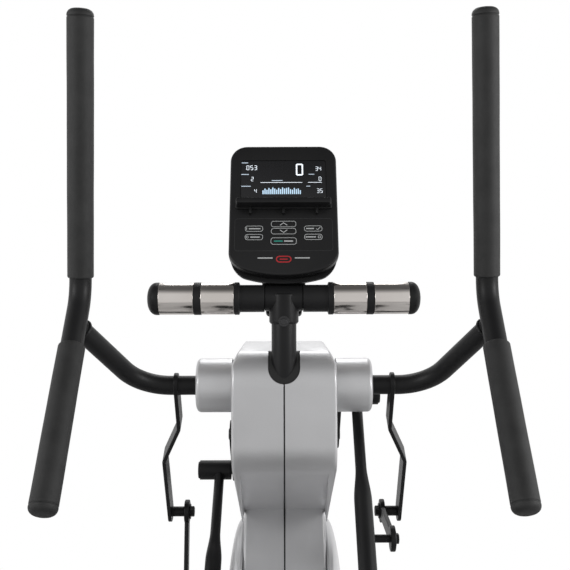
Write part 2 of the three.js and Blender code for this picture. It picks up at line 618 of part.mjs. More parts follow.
const armShape = pedalArm();
const pedalShape = pedal();
const rollerShape = ring(LINK_PIN_R + 0.4, ROLLER_R, [LEG_X - ROLLER_W / 2, LEG_X + ROLLER_W / 2], 0, -LEG_LENGTH, 36);

for (const [side, sign] of SIDES) {
  const pin = crankPin(side);
  const hung = new THREE.Group();
  hung.position.set(0, pin.y, pin.z);
  hung.rotation.x = -armLean(side);
  machine.add(hung);
  add(`${side}_pedal_arm`, sided(armShape, sign), blackSteel, hung);
  const footPlate = add(`${side}_pedal`, sided(pedalShape, sign), darkPlastic, hung);
  footPlate.position.set(0, 0, -PEDAL.t);
  footPlate.rotation.x = rad(LEVEL_PITCH);
  add(`${side}_roller`, sided(rollerShape, sign), rubber, hung);
}

// ---------------------------------------------------------------- handlebars, from their axle
const v = (x, y, z) => new THREE.Vector3(x, y, z);
const HUB_X = COVER_HALF + 4;
const ARM_BEND = v(225, 0, 0);
const ARM_END = v(297, -120, 100);
const LOW_TIP = v(299, -283, -119);      // lower end of the upright
const UPRIGHT_BEND = v(296, -97, 142);
const TOP_TIP = v(281, -156, 533);
const UPPER_GRIP_FROM = 27;              // bend to the bottom rim of the upper grip
const LOWER_GRIP_FROM = 86;              // bend to the top rim of the lower grip

const along = (a, b, s) => a.clone().addScaledVector(b.clone().sub(a).normalize(), s);

function lever() {
  const reach = Math.hypot(LEVER_END.y, LEVER_END.z);
  const [x0, x1] = LEVER_X;
  const t = LEVER_T;
  const p = (x, s) => new THREE.Vector2(x, -s);
  const bar = new THREE.Shape([
    p(x0, -22), p(x0, 0.28 * reach), p(x1, 0.53 * reach), p(x1, reach + 22), p(x1 + t, reach + 22),
    p(x1 + t, 0.53 * reach - 3), p(x0 + t, 0.28 * reach - 3), p(x0 + t, -22)]);
  const thick = new THREE.ExtrudeGeometry(bar, { depth: LEVER_W, bevelEnabled: false })
    .translate(0, 0, -LEVER_W / 2).rotateX(Math.PI / 2);
  const flank = plate(capsule(0, 0, LEVER_W / 2 - 0.01, 0, -reach, LEVER_W / 2), [x0 - 5, x1 + t + 5], 7);
  const stub = rod(8.5, [LINK_X[1] + 1, x1 + 1], 0, -reach, 24);
  const pin = rod(LINK_PIN_R, [LINK_X[0] - 3, LINK_X[1] + 2], 0, -reach, 24);
  const head = rod(9, [LINK_X[0] - 8, LINK_X[0] - 1], 0, -reach, 6);
  const whole = join(common(thick, flank), stub, pin, head);
  return whole.applyMatrix4(new THREE.Matrix4().makeRotationX(Math.atan2(LEVER_END.y, -LEVER_END.z)));
}

function handlebar() {
  const arm = pipe(new TubePath([v(HUB_X, 0, 0), ARM_BEND, ARM_END], 75), ARM_TUBE_R, 12);
  const upright = pipe(new TubePath([LOW_TIP, UPRIGHT_BEND, TOP_TIP], 60), TUBE_R, 12);
  const bore = rod(HANDLE_AXLE_R + GAP, [HUB_X - 2, AXLE_END + 1], 0, 0, 32);
  return cut(join(arm, upright, lever()), bore);
}

// foam sleeve over a straight run of the upright, with a closed round end past the tip
function grip(rim, tip) {
  const end = along(tip, rim, -8.5);
  const run = rim.distanceTo(end);
  const profile = [[0, 0], [0, FOAM_R], [run - 9, FOAM_R], [run - 4, FOAM_R - 3], [run - 1, FOAM_R - 9], [run, 0]];
  const sleeve = new THREE.LatheGeometry(profile.map(([s, r]) => new THREE.Vector2(r, s)), 24);
  const hole = new THREE.CylinderGeometry(TUBE_R + GAP, TUBE_R + GAP, run - 8.5 + 5, 24);
  hole.translate(0, (run - 8.5 + GAP) / 2 - 2.5, 0);
  const foamShape = cut(sleeve, hole);
  const turn = new THREE.Quaternion().setFromUnitVectors(v(0, 1, 0), end.clone().sub(rim).normalize());
  return foamShape.applyMatrix4(new THREE.Matrix4().makeRotationFromQuaternion(turn).setPosition(rim));
}

const handleShape = handlebar();
const upperGripShape = grip(along(UPRIGHT_BEND, TOP_TIP, UPPER_GRIP_FROM), TOP_TIP);
const lowerGripShape = grip(along(UPRIGHT_BEND, LOW_TIP, LOWER_GRIP_FROM), LOW_TIP);

for (const [side, sign] of SIDES) {
  const swing = new THREE.Group();
  swing.position.set(0, 0, PIVOT_Z);
  machine.add(swing);
  add(`${side}_handlebar`, sided(handleShape, sign), blackSteel, swing);
  add(`${side}_upper_grip`, sided(upperGripShape, sign), foam, swing);
  add(`${side}_lower_grip`, sided(lowerGripShape, sign), foam, swing);
}

// ---------------------------------------------------------------- links from handlebar lever to pedal arm
for (const [side, sign] of SIDES) {
  const pin = crankPin(side);
  const lean = armLean(side);
  const stub = {
    y: pin.y + STUB_FORE * Math.cos(lean) - STUB_DOWN * Math.sin(lean),
    z: pin.z - STUB_FORE * Math.sin(lean) - STUB_DOWN * Math.cos(lean),
  };
  const top = { y: LEVER_END.y, z: PIVOT_Z + LEVER_END.z };
  const eye = (p) => rod(LINK_EYE, LINK_X, p.y, p.z, 28);
  const strap = plate(capsule(top.y, top.z, 13, stub.y, stub.z, 12.9), LINK_X, 8);
  const bolt = rod(8, [LINK_X[1] - 1, LINK_X[1] + 6], stub.y, stub.z, 6);
  const link = cut(join(eye(top), eye(stub), strap, bolt),
    rod(LINK_PIN_R + 0.4, [LINK_X[0] - 5, LINK_X[1] + 5], top.y, top.z, 28));
  add(`${side}_link`, sided(link, sign), blackSteel);
}

// ---------------------------------------------------------------- origin under the middle of the whole machine
machine.updateMatrixWorld(true);
const box = new THREE.Box3().setFromObject(machine, true);
machine.position.set(-(box.min.x + box.max.x) / 2, -(box.min.y + box.max.y) / 2, -box.min.z);

export default machine;
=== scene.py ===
# %% [markdown]
# # An elliptical trainer, seen from the rider's place
# The machine has a silver housing with two swinging handlebars, a fixed pulse bar, a console on a mast,
# and two pedal arms hung from a crank and running on rails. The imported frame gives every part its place
# and its motion. This notebook gives each part its finished surface and its finish. A surface is worked
# out as a grid of points with numpy, so that one short formula makes a whole shape, and a change to a
# number changes the piece.

# %% Load the frame
import json
import math

import bmesh
import bpy
import numpy as np
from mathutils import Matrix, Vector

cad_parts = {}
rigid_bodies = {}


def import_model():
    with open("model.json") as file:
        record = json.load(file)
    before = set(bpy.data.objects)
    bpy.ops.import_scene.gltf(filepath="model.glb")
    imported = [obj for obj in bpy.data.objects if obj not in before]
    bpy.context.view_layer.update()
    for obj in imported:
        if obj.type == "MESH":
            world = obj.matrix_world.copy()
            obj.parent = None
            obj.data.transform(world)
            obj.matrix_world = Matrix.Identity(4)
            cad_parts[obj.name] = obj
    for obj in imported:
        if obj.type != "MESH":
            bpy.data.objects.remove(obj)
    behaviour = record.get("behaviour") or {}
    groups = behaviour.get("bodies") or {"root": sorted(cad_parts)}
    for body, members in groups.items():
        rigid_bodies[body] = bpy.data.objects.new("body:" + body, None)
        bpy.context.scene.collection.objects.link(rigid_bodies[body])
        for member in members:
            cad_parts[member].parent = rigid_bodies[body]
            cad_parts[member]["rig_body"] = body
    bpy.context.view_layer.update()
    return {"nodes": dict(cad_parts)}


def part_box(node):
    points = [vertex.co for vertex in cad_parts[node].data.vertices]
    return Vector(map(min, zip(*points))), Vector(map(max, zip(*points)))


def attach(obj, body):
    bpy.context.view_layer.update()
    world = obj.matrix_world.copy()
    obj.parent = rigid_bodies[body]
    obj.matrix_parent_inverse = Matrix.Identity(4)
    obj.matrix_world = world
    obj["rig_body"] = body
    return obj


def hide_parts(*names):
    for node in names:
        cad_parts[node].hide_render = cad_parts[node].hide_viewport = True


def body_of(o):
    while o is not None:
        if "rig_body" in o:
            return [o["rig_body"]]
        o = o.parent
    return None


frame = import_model()

# %% [markdown]
# ## Where things are
# The shapes below are given in millimetres, with y counted forward from the handlebar axle and z up
# from the floor. The axle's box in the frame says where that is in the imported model, so nothing needs
# fitting by eye.

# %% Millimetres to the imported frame
MM = 0.001
PIVOT_Z = 1020.0
axle_low, axle_high = (np.array(corner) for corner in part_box("handlebar_axle"))
AXLE = (axle_low + axle_high) / 2
ORIGIN = AXLE - np.array([0.0, 0.0, PIVOT_Z * MM])
print("handlebar axle at", AXLE)


def metres(points):
    """Scales millimetres to metres and adds the place of the axle's foot on the floor."""
    return np.asarray(points, float) * MM + ORIGIN


# %% [markdown]
# ## Camera
# The view is from the rider's side, level, just above the handlebar axle and about 1.3 m behind it. A
# level camera keeps upright lines parallel, and a small sideways shift and roll put the machine in the
# middle.

# %% Camera
PICTURE = 570.0
FOCAL = 850.0
SENSOR = 36.0
camera_data = bpy.data.cameras.new("rider_eye")
camera_data.sensor_width = SENSOR
camera_data.lens = SENSOR * FOCAL / PICTURE
camera_data.shift_x = 0.0021
camera = bpy.data.objects.new("rider_eye", camera_data)
camera.location = AXLE + np.array([0.0, -1.335, 0.157])
camera.rotation_euler = (math.radians(90), math.radians(0.2), 0)
bpy.context.scene.collection.objects.link(camera)
bpy.context.scene.camera = camera
print("camera lens", round(camera_data.lens, 2), "mm")

# %% [markdown]
# ## Light
# Product pictures of such machines are taken in a white tent: light comes from everywhere, with two
# large soft boxes for the highlights on the tubes. The world is white near the horizon and dimmer
# overhead and below, because a bare white sphere would take every shadow and every highlight away.

# %% Studio light
scene = bpy.context.scene
scene.view_settings.view_transform = "Standard"


def add_node(tree, kind, feeds=None, **settings):
    """A shader node of a kind. feeds gives each input the output that is joined to it, or a plain
    value, and settings are the node's own properties."""
    node = tree.nodes.new(f"ShaderNode{kind}")
    for key, value in settings.items():
        setattr(node, key, value)
    for socket, value in (feeds or {}).items():
        if isinstance(value, bpy.types.NodeSocket):
            tree.links.new(value, node.inputs[socket])
        else:
            node.inputs[socket].default_value = value
    return node


def map_range(tree, value, low, high, least, most, **settings):
    """A node that maps low..high to least..most."""
    return add_node(tree, "MapRange", {"Value": value, "From Min": low, "From Max": high,
                                       "To Min": least, "To Max": most}, **settings).outputs[0]


world = bpy.data.worlds.new("tent")
world.use_nodes = True
scene.world = world
tent = world.node_tree
direction = add_node(tent, "SeparateXYZ", {0: add_node(tent, "TexCoord").outputs["Generated"]})
strength = 1.0
for along, low, high, least in (("Y", -1.0, 0.2, 0.72), ("Z", -0.62, -0.36, 0.08), ("Z", 0.98, 0.5, 0.12)):
    share = map_range(tent, direction.outputs[along], low, high, least, 1.0, interpolation_type="SMOOTHSTEP")
    strength = add_node(tent, "Math", {0: strength, 1: share}, operation="MULTIPLY").outputs[0]
tent.links.new(strength, tent.nodes["Background"].inputs["Strength"])
tent.nodes["Background"].inputs["Color"].default_value = (1, 1, 1, 1)


def soft_box(name, place, size, power):
    """A square area light at a place, turned so that it looks at the handlebar axle."""
    data = bpy.data.lights.new(name, "AREA")
    data.size = size
    data.energy = power
    lamp = bpy.data.objects.new(name, data)
    lamp.location = AXLE + np.array(place)
    x, y, z = place
    lamp.rotation_euler = (math.atan2(math.hypot(x, y), z), 0, math.atan2(x, -y))
    scene.collection.objects.link(lamp)


soft_box("left_box", (-2.2, -1.4, 0.7), 1.0, 22)
soft_box("right_box", (2.3, -1.0, 0.6), 1.0, 34)
soft_box("back_box", (0.0, 1.6, 1.9), 1.2, 16)

# %% [markdown]
# ## Finishes
# Every finish is a Principled shader whose colour, roughness and relief are worked out from noise on
# Object coordinates, so that it sits still on the piece and needs no unwrapping. One helper holds the
# common parts: a slow noise that varies the colour a little, a fine noise that breaks up the gloss, and
# a grain for the relief. The numbers that are the same all over a surface are set on the shader's own
# sockets.

# %% The finish helper


def finish(name, dark, light, rough, grain, relief, stretch=(1, 1, 1), cloud=9.0, metallic=0.0,
           specular=0.5, coat=0.0, coat_rough=0.1, flakes=False):
    """Colour runs from dark to light with a slow noise of scale cloud. Roughness runs between the two
    values of rough with a noise of scale grain, and the same noise lifts the surface by relief
    metres. A stretch draws the grain out along an axis. Flakes makes the grain cells of their own
    shade, as in metallic paint."""
    made = bpy.data.materials.new(name)
    made.use_nodes = True
    tree = made.node_tree
    place = add_node(tree, "TexCoord").outputs["Object"]
    drawn = add_node(tree, "Mapping", {"Vector": place, "Scale": stretch}).outputs[0]
    slow = add_node(tree, "TexNoise", {"Vector": place, "Scale": cloud, "Detail": 3.0}).outputs["Fac"]
    if flakes:
        fine = add_node(tree, "TexVoronoi", {"Vector": drawn, "Scale": grain}).outputs["Distance"]
    else:
        fine = add_node(tree, "TexNoise", {"Vector": drawn, "Scale": grain, "Detail": 2.0}).outputs["Fac"]
    spread = map_range(tree, slow, 0.35, 0.65, 0.0, 0.75)
    shade = add_node(tree, "Math", {0: fine, 1: 0.5 if flakes else 0.25, 2: spread}, operation="MULTIPLY_ADD")
    ramp = add_node(tree, "ValToRGB", {0: shade.outputs[0]})
    for stop, colour in zip(ramp.color_ramp.elements, (dark, light)):
        stop.color = (*colour, 1)
    bump = add_node(tree, "Bump", {"Height": fine, "Distance": relief, "Strength": 1.0})
    shader = tree.nodes["Principled BSDF"].inputs
    tree.links.new(ramp.outputs[0], shader["Base Color"])
    tree.links.new(map_range(tree, fine, 0.3, 0.7, *rough), shader["Roughness"])
    tree.links.new(bump.outputs[0], shader["Normal"])
    for socket, value in (("Metallic", metallic), ("Specular IOR Level", specular),
                          ("Coat Weight", coat), ("Coat Roughness", coat_rough)):
        shader[socket].default_value = value
    return made


# %% [markdown]
# ### The set of finishes
# The tubes have a satin black powder coat with a fine orange peel. The housing is moulded plastic
# sprayed with silver paint that holds small metal flakes. The pulse plates are stainless sleeves
# brushed round the bar, so their grain is drawn out across the brushing. Foam is dull, with open pores.
# Printing on the console is a thin grey ink, and the display shows lit segments behind dark glass.

# %% Make the finishes
powder_coat = finish("satin_powder_coat", (0.006, 0.006, 0.0065), (0.010, 0.010, 0.0105), (0.36, 0.50),
                     1400, 0.00006, specular=0.2)
machined = finish("machined_steel", (0.42, 0.42, 0.43), (0.62, 0.62, 0.62), (0.22, 0.38), 500, 0.00003,
                  stretch=(1, 6, 6), metallic=1.0)
brushed = finish("brushed_stainless", (0.62, 0.575, 0.54), (0.76, 0.72, 0.69), (0.10, 0.19), 420, 0.000006,
                 stretch=(9, 1, 1), metallic=1.0)
silver_paint = finish("silver_flake_paint", (0.50, 0.50, 0.508), (0.60, 0.60, 0.61), (0.33, 0.45), 1100,
                      0.00004, cloud=5.0, metallic=0.7, coat=0.08, coat_rough=0.3, flakes=True)
moulded_black = finish("moulded_black", (0.006, 0.006, 0.0065), (0.011, 0.011, 0.0115), (0.42, 0.58), 2200,
                       0.00005, specular=0.22)
console_black = finish("console_black", (0.007, 0.007, 0.0075), (0.011, 0.011, 0.0115), (0.34, 0.42), 3000,
                       0.00001, specular=0.25)
moulded_grey = finish("moulded_grey", (0.14, 0.145, 0.15), (0.20, 0.205, 0.21), (0.45, 0.6), 1800, 0.00004)
foam_skin = finish("foam_skin", (0.005, 0.005, 0.005), (0.013, 0.013, 0.013), (0.50, 0.72), 1500, 0.00035,
                   cloud=40.0, specular=0.45)
tyre_rubber = finish("dull_rubber", (0.010, 0.010, 0.010), (0.020, 0.020, 0.020), (0.7, 0.9), 900, 0.0001,
                     specular=0.3)
cast = finish("cast_iron", (0.05, 0.05, 0.052), (0.10, 0.10, 0.103), (0.45, 0.7), 600, 0.0002, metallic=0.8)
zinc = finish("zinc_plate", (0.30, 0.30, 0.31), (0.45, 0.45, 0.46), (0.3, 0.45), 700, 0.00004, metallic=1.0)
black_oxide = finish("black_oxide_bolt", (0.03, 0.03, 0.031), (0.06, 0.06, 0.062), (0.22, 0.34), 900,
                     0.00004, metallic=0.8)
dark_glass = finish("dark_glass", (0.008, 0.008, 0.009), (0.011, 0.011, 0.0125), (0.2, 0.3), 400, 0.000002,
                    specular=0.4)
grey_ink = finish("grey_ink", (0.34, 0.35, 0.35), (0.44, 0.45, 0.45), (0.45, 0.6), 2500, 0.00001)
line_ink = finish("line_ink", (0.03, 0.03, 0.031), (0.045, 0.045, 0.046), (0.45, 0.6), 2500, 0.00001)
green_ink = finish("green_ink", (0.01, 0.16, 0.12), (0.02, 0.25, 0.19), (0.45, 0.6), 2500, 0.00001)
red_ink = finish("red_ink", (0.28, 0.006, 0.010), (0.42, 0.012, 0.016), (0.4, 0.55), 2500, 0.00001)


def lit(name, colour, strength):
    """A finish that glows by itself, for display segments."""
    made = finish(name, tuple(0.6 * c for c in colour), colour, (0.3, 0.5), 900, 0.00001)
    shader = made.node_tree.nodes["Principled BSDF"].inputs
    shader["Emission Color"].default_value = (*colour, 1)
    shader["Emission Strength"].default_value = strength
    return made


white_segment = lit("white_segment", (0.86, 0.93, 1.0), 0.85)
blue_segment = lit("blue_segment", (0.55, 0.76, 0.95), 0.55)
dim_segment = lit("dim_segment", (0.55, 0.65, 0.75), 0.35)
print("finishes:", len(bpy.data.materials))

# %% [markdown]
# ## Surfaces from grids
# Almost every part of the machine is a row of closed rings: a tube is a circle carried along a line, a
# turned part is a circle that grows and shrinks, and a moulded cover is its outline drawn in at the
# edges. Lofting in a modelling window would do it too, but a grid of rings keeps each shape as a
# formula. The ends are closed with one face each, so every surface is a closed skin.

# %% Rings to a closed skin
CREASE = 32.0


def skin(rings, loop=False):
    """rings is an array (rings, points, 3) in millimetres. Point j of ring i is joined to its
    neighbours on the ring and on the next ring by a four-sided face. With loop the last ring joins
    the first, and otherwise each end is closed. Returns the points and the faces."""
    rings = np.asarray(rings, float)
    m, n, _ = rings.shape
    i = np.arange(m if loop else m - 1)[:, None]
    j = np.arange(n)[None, :]
    a, b = i * n + j, i * n + (j + 1) % n
    up = (i + 1) % m
    c, d = up * n + (j + 1) % n, up * n + j
    faces = np.stack([a, b, c, d], axis=-1).reshape(-1, 4).tolist()
    if not loop:
        faces.append(list(range(n))[::-1])
        faces.append(list(range((m - 1) * n, m * n)))
    return rings.reshape(-1, 3), faces


def cleaned(mesh, gap, flat=None):
    """Merges the points of a mesh that are closer than a gap in metres, takes out the edges between
    faces that are flat to within an angle if one is given, and turns every face outwards."""
    work = bmesh.new()
    work.from_mesh(mesh)
    bmesh.ops.remove_doubles(work, verts=work.verts, dist=gap)
    if flat:
        bmesh.ops.dissolve_limit(work, angle_limit=flat, verts=work.verts, edges=work.edges)
    bmesh.ops.recalc_face_normals(work, faces=work.faces)
    work.to_mesh(mesh)
    work.free()


def bare_mesh(name, skins):
    """One mesh from several closed skins, its faces turned outwards."""
    points, faces, base = [], [], 0
    for part_points, part_faces in skins:
        points.append(part_points)
        faces += [[k + base for k in face] for face in part_faces]
        base += len(part_points)
    mesh = bpy.data.meshes.new(name)
    mesh.from_pydata(metres(np.concatenate(points)), [], faces)
    cleaned(mesh, 1e-6)
    return mesh


def creased(mesh, angle=CREASE):
    """Smooth shading, with the edges that turn more than the angle kept sharp."""
    mesh.shade_smooth()
    mesh.set_sharp_from_angle(angle=math.radians(angle))


def settle(obj, body, nodes=()):
    """Puts a finished object in the scene, on its body, in place of the nodes it stands for."""
    scene.collection.objects.link(obj)
    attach(obj, body)
    if nodes:
        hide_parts(*nodes)
    return obj


def piece(name, skins, material, body, nodes=(), angle=CREASE):
    """A finished piece from skins: mesh, creases, material, body, and the nodes it replaces."""
    mesh = bare_mesh(name, skins)
    creased(mesh, angle)
    mesh.materials.append(material)
    return settle(bpy.data.objects.new(name, mesh), body, nodes)


# %% [markdown]
# ### Lines, circles and profiles
# A bend in a tube and a rounded edge in a profile are the same thing: a corner replaced by an arc that
# touches both of its sides. So one function rounds both.

# %% Helpers for lines and rings
UNIT = {"x": np.array([1.0, 0, 0]), "y": np.array([0, 1.0, 0]), "z": np.array([0, 0, 1.0])}


def rounded(points, radii, steps=6):
    """Each inner corner of a line is replaced by an arc of its radius. The arc's centre lies on the
    line that halves the corner, and its points turn evenly from the one touching point to the other."""
    points = np.asarray(points, float)
    radii = np.broadcast_to(radii, len(points) - 2)
    line = [points[0]]
    for before, corner, after, radius in zip(points[:-2], points[1:-1], points[2:], radii):
        back, on = before - corner, after - corner
        back, on = back / np.linalg.norm(back), on / np.linalg.norm(on)
        half = math.acos(float(np.clip(back @ on, -1, 1))) / 2
        if radius <= 0 or half > math.pi / 2 - 1e-4:
            line.append(corner)
            continue
        centre = corner + (back + on) / np.linalg.norm(back + on) * radius / math.sin(half)
        start = corner + back * radius / math.tan(half) - centre
        end = corner + on * radius / math.tan(half) - centre
        sweep = math.pi - 2 * half
        t = np.linspace(0, 1, steps + 1)[:, None]
        line += list(centre + (np.sin((1 - t) * sweep) * start + np.sin(t * sweep) * end) / math.sin(sweep))
    line.append(points[-1])
    return np.array(line)


def headings(line):
    """The unit direction of a line at each of its points, from the points on both sides."""
    ahead = np.gradient(line, axis=0)
    return ahead / np.linalg.norm(ahead, axis=1)[:, None]


def in_plane(points, value, axis):
    """Points of a plane, given by two numbers each, as points of space: value goes in as coordinate
    axis."""
    return np.insert(np.asarray(points, float), axis, value, axis=1)


def circle(sides):
    """Cosine and sine of evenly spaced angles."""
    angle = np.linspace(0, 2 * math.pi, sides, endpoint=False)
    return np.cos(angle), np.sin(angle)


def across(axis):
    """Two unit vectors square to an axis and to each other."""
    axis = axis / np.linalg.norm(axis)
    helper = UNIT["x"] if abs(axis[0]) < 0.8 else UNIT["z"]
    first = np.cross(axis, helper)
    first /= np.linalg.norm(first)
    return first, np.cross(axis, first)


def turned(profile, start=(0, 0, 0), axis=(1, 0, 0), sides=48):
    """A body of revolution: ring i is a circle whose radius is the profile's second number, in the
    plane across the axis at the profile's first number along it."""
    profile = np.asarray(profile, float)
    axis = np.asarray(axis, float) / np.linalg.norm(axis)
    first, second = across(axis)
    c, s = circle(sides)
    middle = np.asarray(start, float) + profile[:, :1] * axis
    round_line = c[:, None] * first + s[:, None] * second
    return skin(middle[:, None, :] + profile[:, 1][:, None, None] * round_line)


def disc(x, radius, edge, place=(0, 0, 0), sides=48, inner=1.0, axis=(1, 0, 0), steps=6):
    """A turned disc between two places along its axis: its rims are rounded by edge, and its faces run
    in to the inner radius, where they are closed flat."""
    section = rounded([(x[0], inner), (x[0], radius), (x[1], radius), (x[1], inner)], edge, steps)
    return turned(section, place, axis, sides)


def wheel(section, y, z, sides=96):
    """A ring about x: the closed section (x, radius) carried round the axis through (y, z)."""
    c, s = circle(sides)
    return skin([in_plane(np.column_stack([y + r * c, z + r * s]), x, 0) for x, r in section], loop=True)


def tube(line, radius, sides):
    """A ring of the given radius carried along a line in one plane, square to it at every point."""
    line = np.asarray(line, float)
    ahead = headings(line)
    normal = np.cross(ahead[0], ahead[-1])
    if np.linalg.norm(normal) < 1e-4:
        normal = across(ahead[0])[0]
    normal /= np.linalg.norm(normal)
    side = np.cross(ahead, normal)
    side /= np.linalg.norm(side, axis=1)[:, None]
    c, s = circle(sides)
    return skin(line[:, None] + radius * (c[:, None] * side[:, None] + s[:, None] * normal))


def rounded_outline(width, height, radius, steps=8):
    """A rectangle about the origin whose corners are quarter circles, as an array of (u, v)."""
    quarter = np.linspace(0, math.pi / 2, steps + 1)
    corners = []
    for k, (sx, sy) in enumerate(((1, 1), (-1, 1), (-1, -1), (1, -1))):
        a = quarter + k * math.pi / 2
        corners.append(np.stack([sx * (width / 2 - radius) + radius * np.cos(a),
                                 sy * (height / 2 - radius) + radius * np.sin(a)], axis=1))
    return np.concatenate(corners)


def soft_edge(low, high, radius, steps=4):
    """Heights and insets of a slab between low and high whose two rims are rounded: a quarter circle at
    each."""
    a = np.linspace(0, math.pi / 2, steps + 1)
    up = [(low + radius * (1 - math.cos(t)), radius * (1 - math.sin(t))) for t in a]
    down = [(high - radius * (1 - math.sin(t)), radius * (1 - math.cos(t))) for t in a]
    return up + down


def sided(parts, sign):
    """The skins as made for the rider's right, or for the left, where x changes sign and faces run
    backwards."""
    if sign > 0:
        return parts
    return [(points * np.array([-1.0, 1, 1]), [face[::-1] for face in faces]) for points, faces in parts]


SIDES = (("left", -1), ("right", 1))


def carve(target, skins, operation="DIFFERENCE"):
    """Cuts skins out of a piece, or keeps what they share, and puts the result in the piece's own mesh."""
    tool = bpy.data.objects.new("tool", bare_mesh("tool", skins))
    scene.collection.objects.link(tool)
    step = target.modifiers.new("carve", "BOOLEAN")
    step.operation = operation
    step.solver = "EXACT"
    step.use_self = operation == "UNION" or len(skins) > 1
    step.object = tool
    bpy.context.view_layer.update()
    result = bpy.data.meshes.new_from_object(target.evaluated_get(bpy.context.evaluated_depsgraph_get()))
    target.modifiers.clear()
    target.data = result
    bpy.data.objects.remove(tool)
    creased(result)


print("helpers ready")

# %% [markdown]
# ## Housing
# The housing is two moulded halves that meet at a seam down the middle. Each half is a hood over the
# crank, a narrower neck below it, and a round drum for the flywheel. Seen from the side the hood is a
# closed outline of arcs and straight runs, so each solid is that outline stacked sideways and drawn in
# a little at the outer face, where the moulding is rounded. The halves are joined from such solids,
# hollowed with thinner ones, and then the opening for the mast and the holes for the axles are cut.

# %% Sizes of the housing
COVER_HALF = 80.0
NECK_HALF = COVER_HALF - 12
SEAM = 1.1
WALL = 3.0
HOOD_R = 59.0
FACE_Y = -HOOD_R
TOP_Z = PIVOT_Z + 54.7
FRONT_FACE = 333.0
NOSE_R = 62.0
NECK_Y = 106.0
NECK_Z = PIVOT_Z - 226
MAST_R = 19.0
MAST_Y = MAST_R + WALL + 1 - HOOD_R
MAST_FOOT = (0, MAST_Y, 0)
UP = (0, 0, 1)
GATE_R = MAST_R + 5.4
GATE_Z = PIVOT_Z + 7.6
OPENING_Y = MAST_Y + MAST_R + 2.5
CRANK = (190.0, PIVOT_Z - 110)
WHEEL_HUB = (150.0, PIVOT_Z - 480)
DRUM_R = 215.0
BASE_TOP = 100.3
SKIRT_Y = (60, 240)
WIDE_NOSE, WIDE_UNDER_Y, INNER_NOSE = 45, 40, 60
AXLE_HOLE_R, CRANK_HOLE_R = 13.0, 16.5
SHOULDER_IN, SHOULDER_Z = 9.0, PIVOT_Z + 36
WAIST_LOW, WAIST_HIGH = PIVOT_Z - 202, PIVOT_Z - 128


def arc(centre, radius, start, stop, steps):
    """Points on a circle from a start angle to a stop angle, in degrees."""
    a = np.radians(np.linspace(start, stop, steps))
    return np.stack([centre[0] + radius * np.cos(a), centre[1] + radius * np.sin(a)], axis=1)


def hood_outline(inset, nose_stop, under_y):
    """The hood from the side, drawn in by an inset: bottom edge, forward face with its large corner,
    flat top, the round over the handlebar axle, the nose below it, and a straight under-face back to
    the start."""
    top = TOP_Z - inset
    radius = HOOD_R - inset
    lift = math.degrees(math.asin(min(1.0, (top - PIVOT_Z) / radius)))
    corner = 120.0
    return np.concatenate([
        [[under_y + inset, NECK_Z + inset], [FRONT_FACE - inset, NECK_Z + inset]],
        arc((FRONT_FACE - corner, TOP_Z - corner), corner - inset, 0, 90, 14),
        arc((0, PIVOT_Z), radius, 180 - lift, 180, 14),
        arc((FACE_Y + NOSE_R, PIVOT_Z - 85), NOSE_R - inset, 180, 180 + nose_stop, 16)])


def box_outline(y, z):
    """A rectangle from the side, between two y and two z."""
    (y0, y1), (z0, z1) = y, z
    return lambda i: np.array([[y0 + i, z0 + i], [y1 - i, z0 + i], [y1 - i, z1 - i], [y0 + i, z1 - i]])


def stack(outline, stations, loop=False):
    """A closed skin from an outline seen from the side: each station is (x, inset)."""
    return skin([in_plane(outline(inset), x, 0) for x, inset in stations], loop)


def waisted(part):
    """Draws the side of a hood skin in: by 9 mm at the flat top, where the shoulders slope up to it,
    and to the neck's width below the nose. Both are a straight change with height, and only points
    far out move."""
    points, faces = part
    x, z = points[:, 0].copy(), points[:, 2]
    outer = np.clip((x - (COVER_HALF - 22)) / 22, 0, 1)
    x -= SHOULDER_IN * outer * np.clip((z - SHOULDER_Z) / (TOP_Z - SHOULDER_Z), 0, 1)
    narrow = NECK_HALF + 0.2
    low = np.clip((z - WAIST_LOW) / (WAIST_HIGH - WAIST_LOW), 0.04, 1)
    x = np.where(x > narrow, narrow + (x - narrow) * low, x)
    return np.column_stack([x, points[:, 1:]]), faces


def moulded(x_in, x_out, radius, lip=0.8, steps=5):
    """Stations of a moulding: a small broken edge at the seam, and a round one of the given radius
    outside."""
    a = np.linspace(0, math.pi / 2, steps + 1)
    outer = [(x_out - radius * (1 - math.sin(t)), radius * (1 - math.cos(t))) for t in a]
    return [(x_in, lip), (x_in + lip, 0.0)] + outer


def neck(inset):
    """The neck from the side: its rider's face slopes from the hood's under-face down to touch the
    drum."""
    top, front, hub_z = NECK_Z + 12 - inset, FRONT_FACE - inset, WHEEL_HUB[1]
    return np.array([[NECK_Y + 0.8 * inset, top], [front, top], [front, hub_z], [60, hub_z],
                     [-6 + 1.2 * inset, PIVOT_Z - 332 - 0.6 * inset]])


wide_hood = lambda inset: hood_outline(inset, WIDE_NOSE, WIDE_UNDER_Y)
inner_hood = lambda inset: hood_outline(inset, INNER_NOSE, NECK_Y)
skirt = box_outline(SKIRT_Y, (BASE_TOP, WHEEL_HUB[1]))
drum = lambda inset: arc(WHEEL_HUB, DRUM_R - inset, 0, 360 - 360 / 96, 96)
print("points on the hood's outline:", len(wide_hood(0)))

# %% [markdown]
# The mast opening is a slot with a round lower end. Cut along y, it leaves the U that shows on the
# rider's side.

# %% Build the halves


def gate(radius, y):
    """The mast opening as a solid: a half circle below, straight sides above, between two y."""
    low = arc((0, GATE_Z + GATE_R), radius, 180, 360, 25)
    outline = np.concatenate([low, [[radius, TOP_Z + 20], [-radius, TOP_Z + 20]]])
    return skin([in_plane(outline, yy, 1) for yy in y])


def rod(radius, x, y=0.0, z=PIVOT_Z, sides=48):
    """A plain round bar along x."""
    return turned([(x[0], radius), (x[1], radius)], start=(0, y, z), sides=sides)


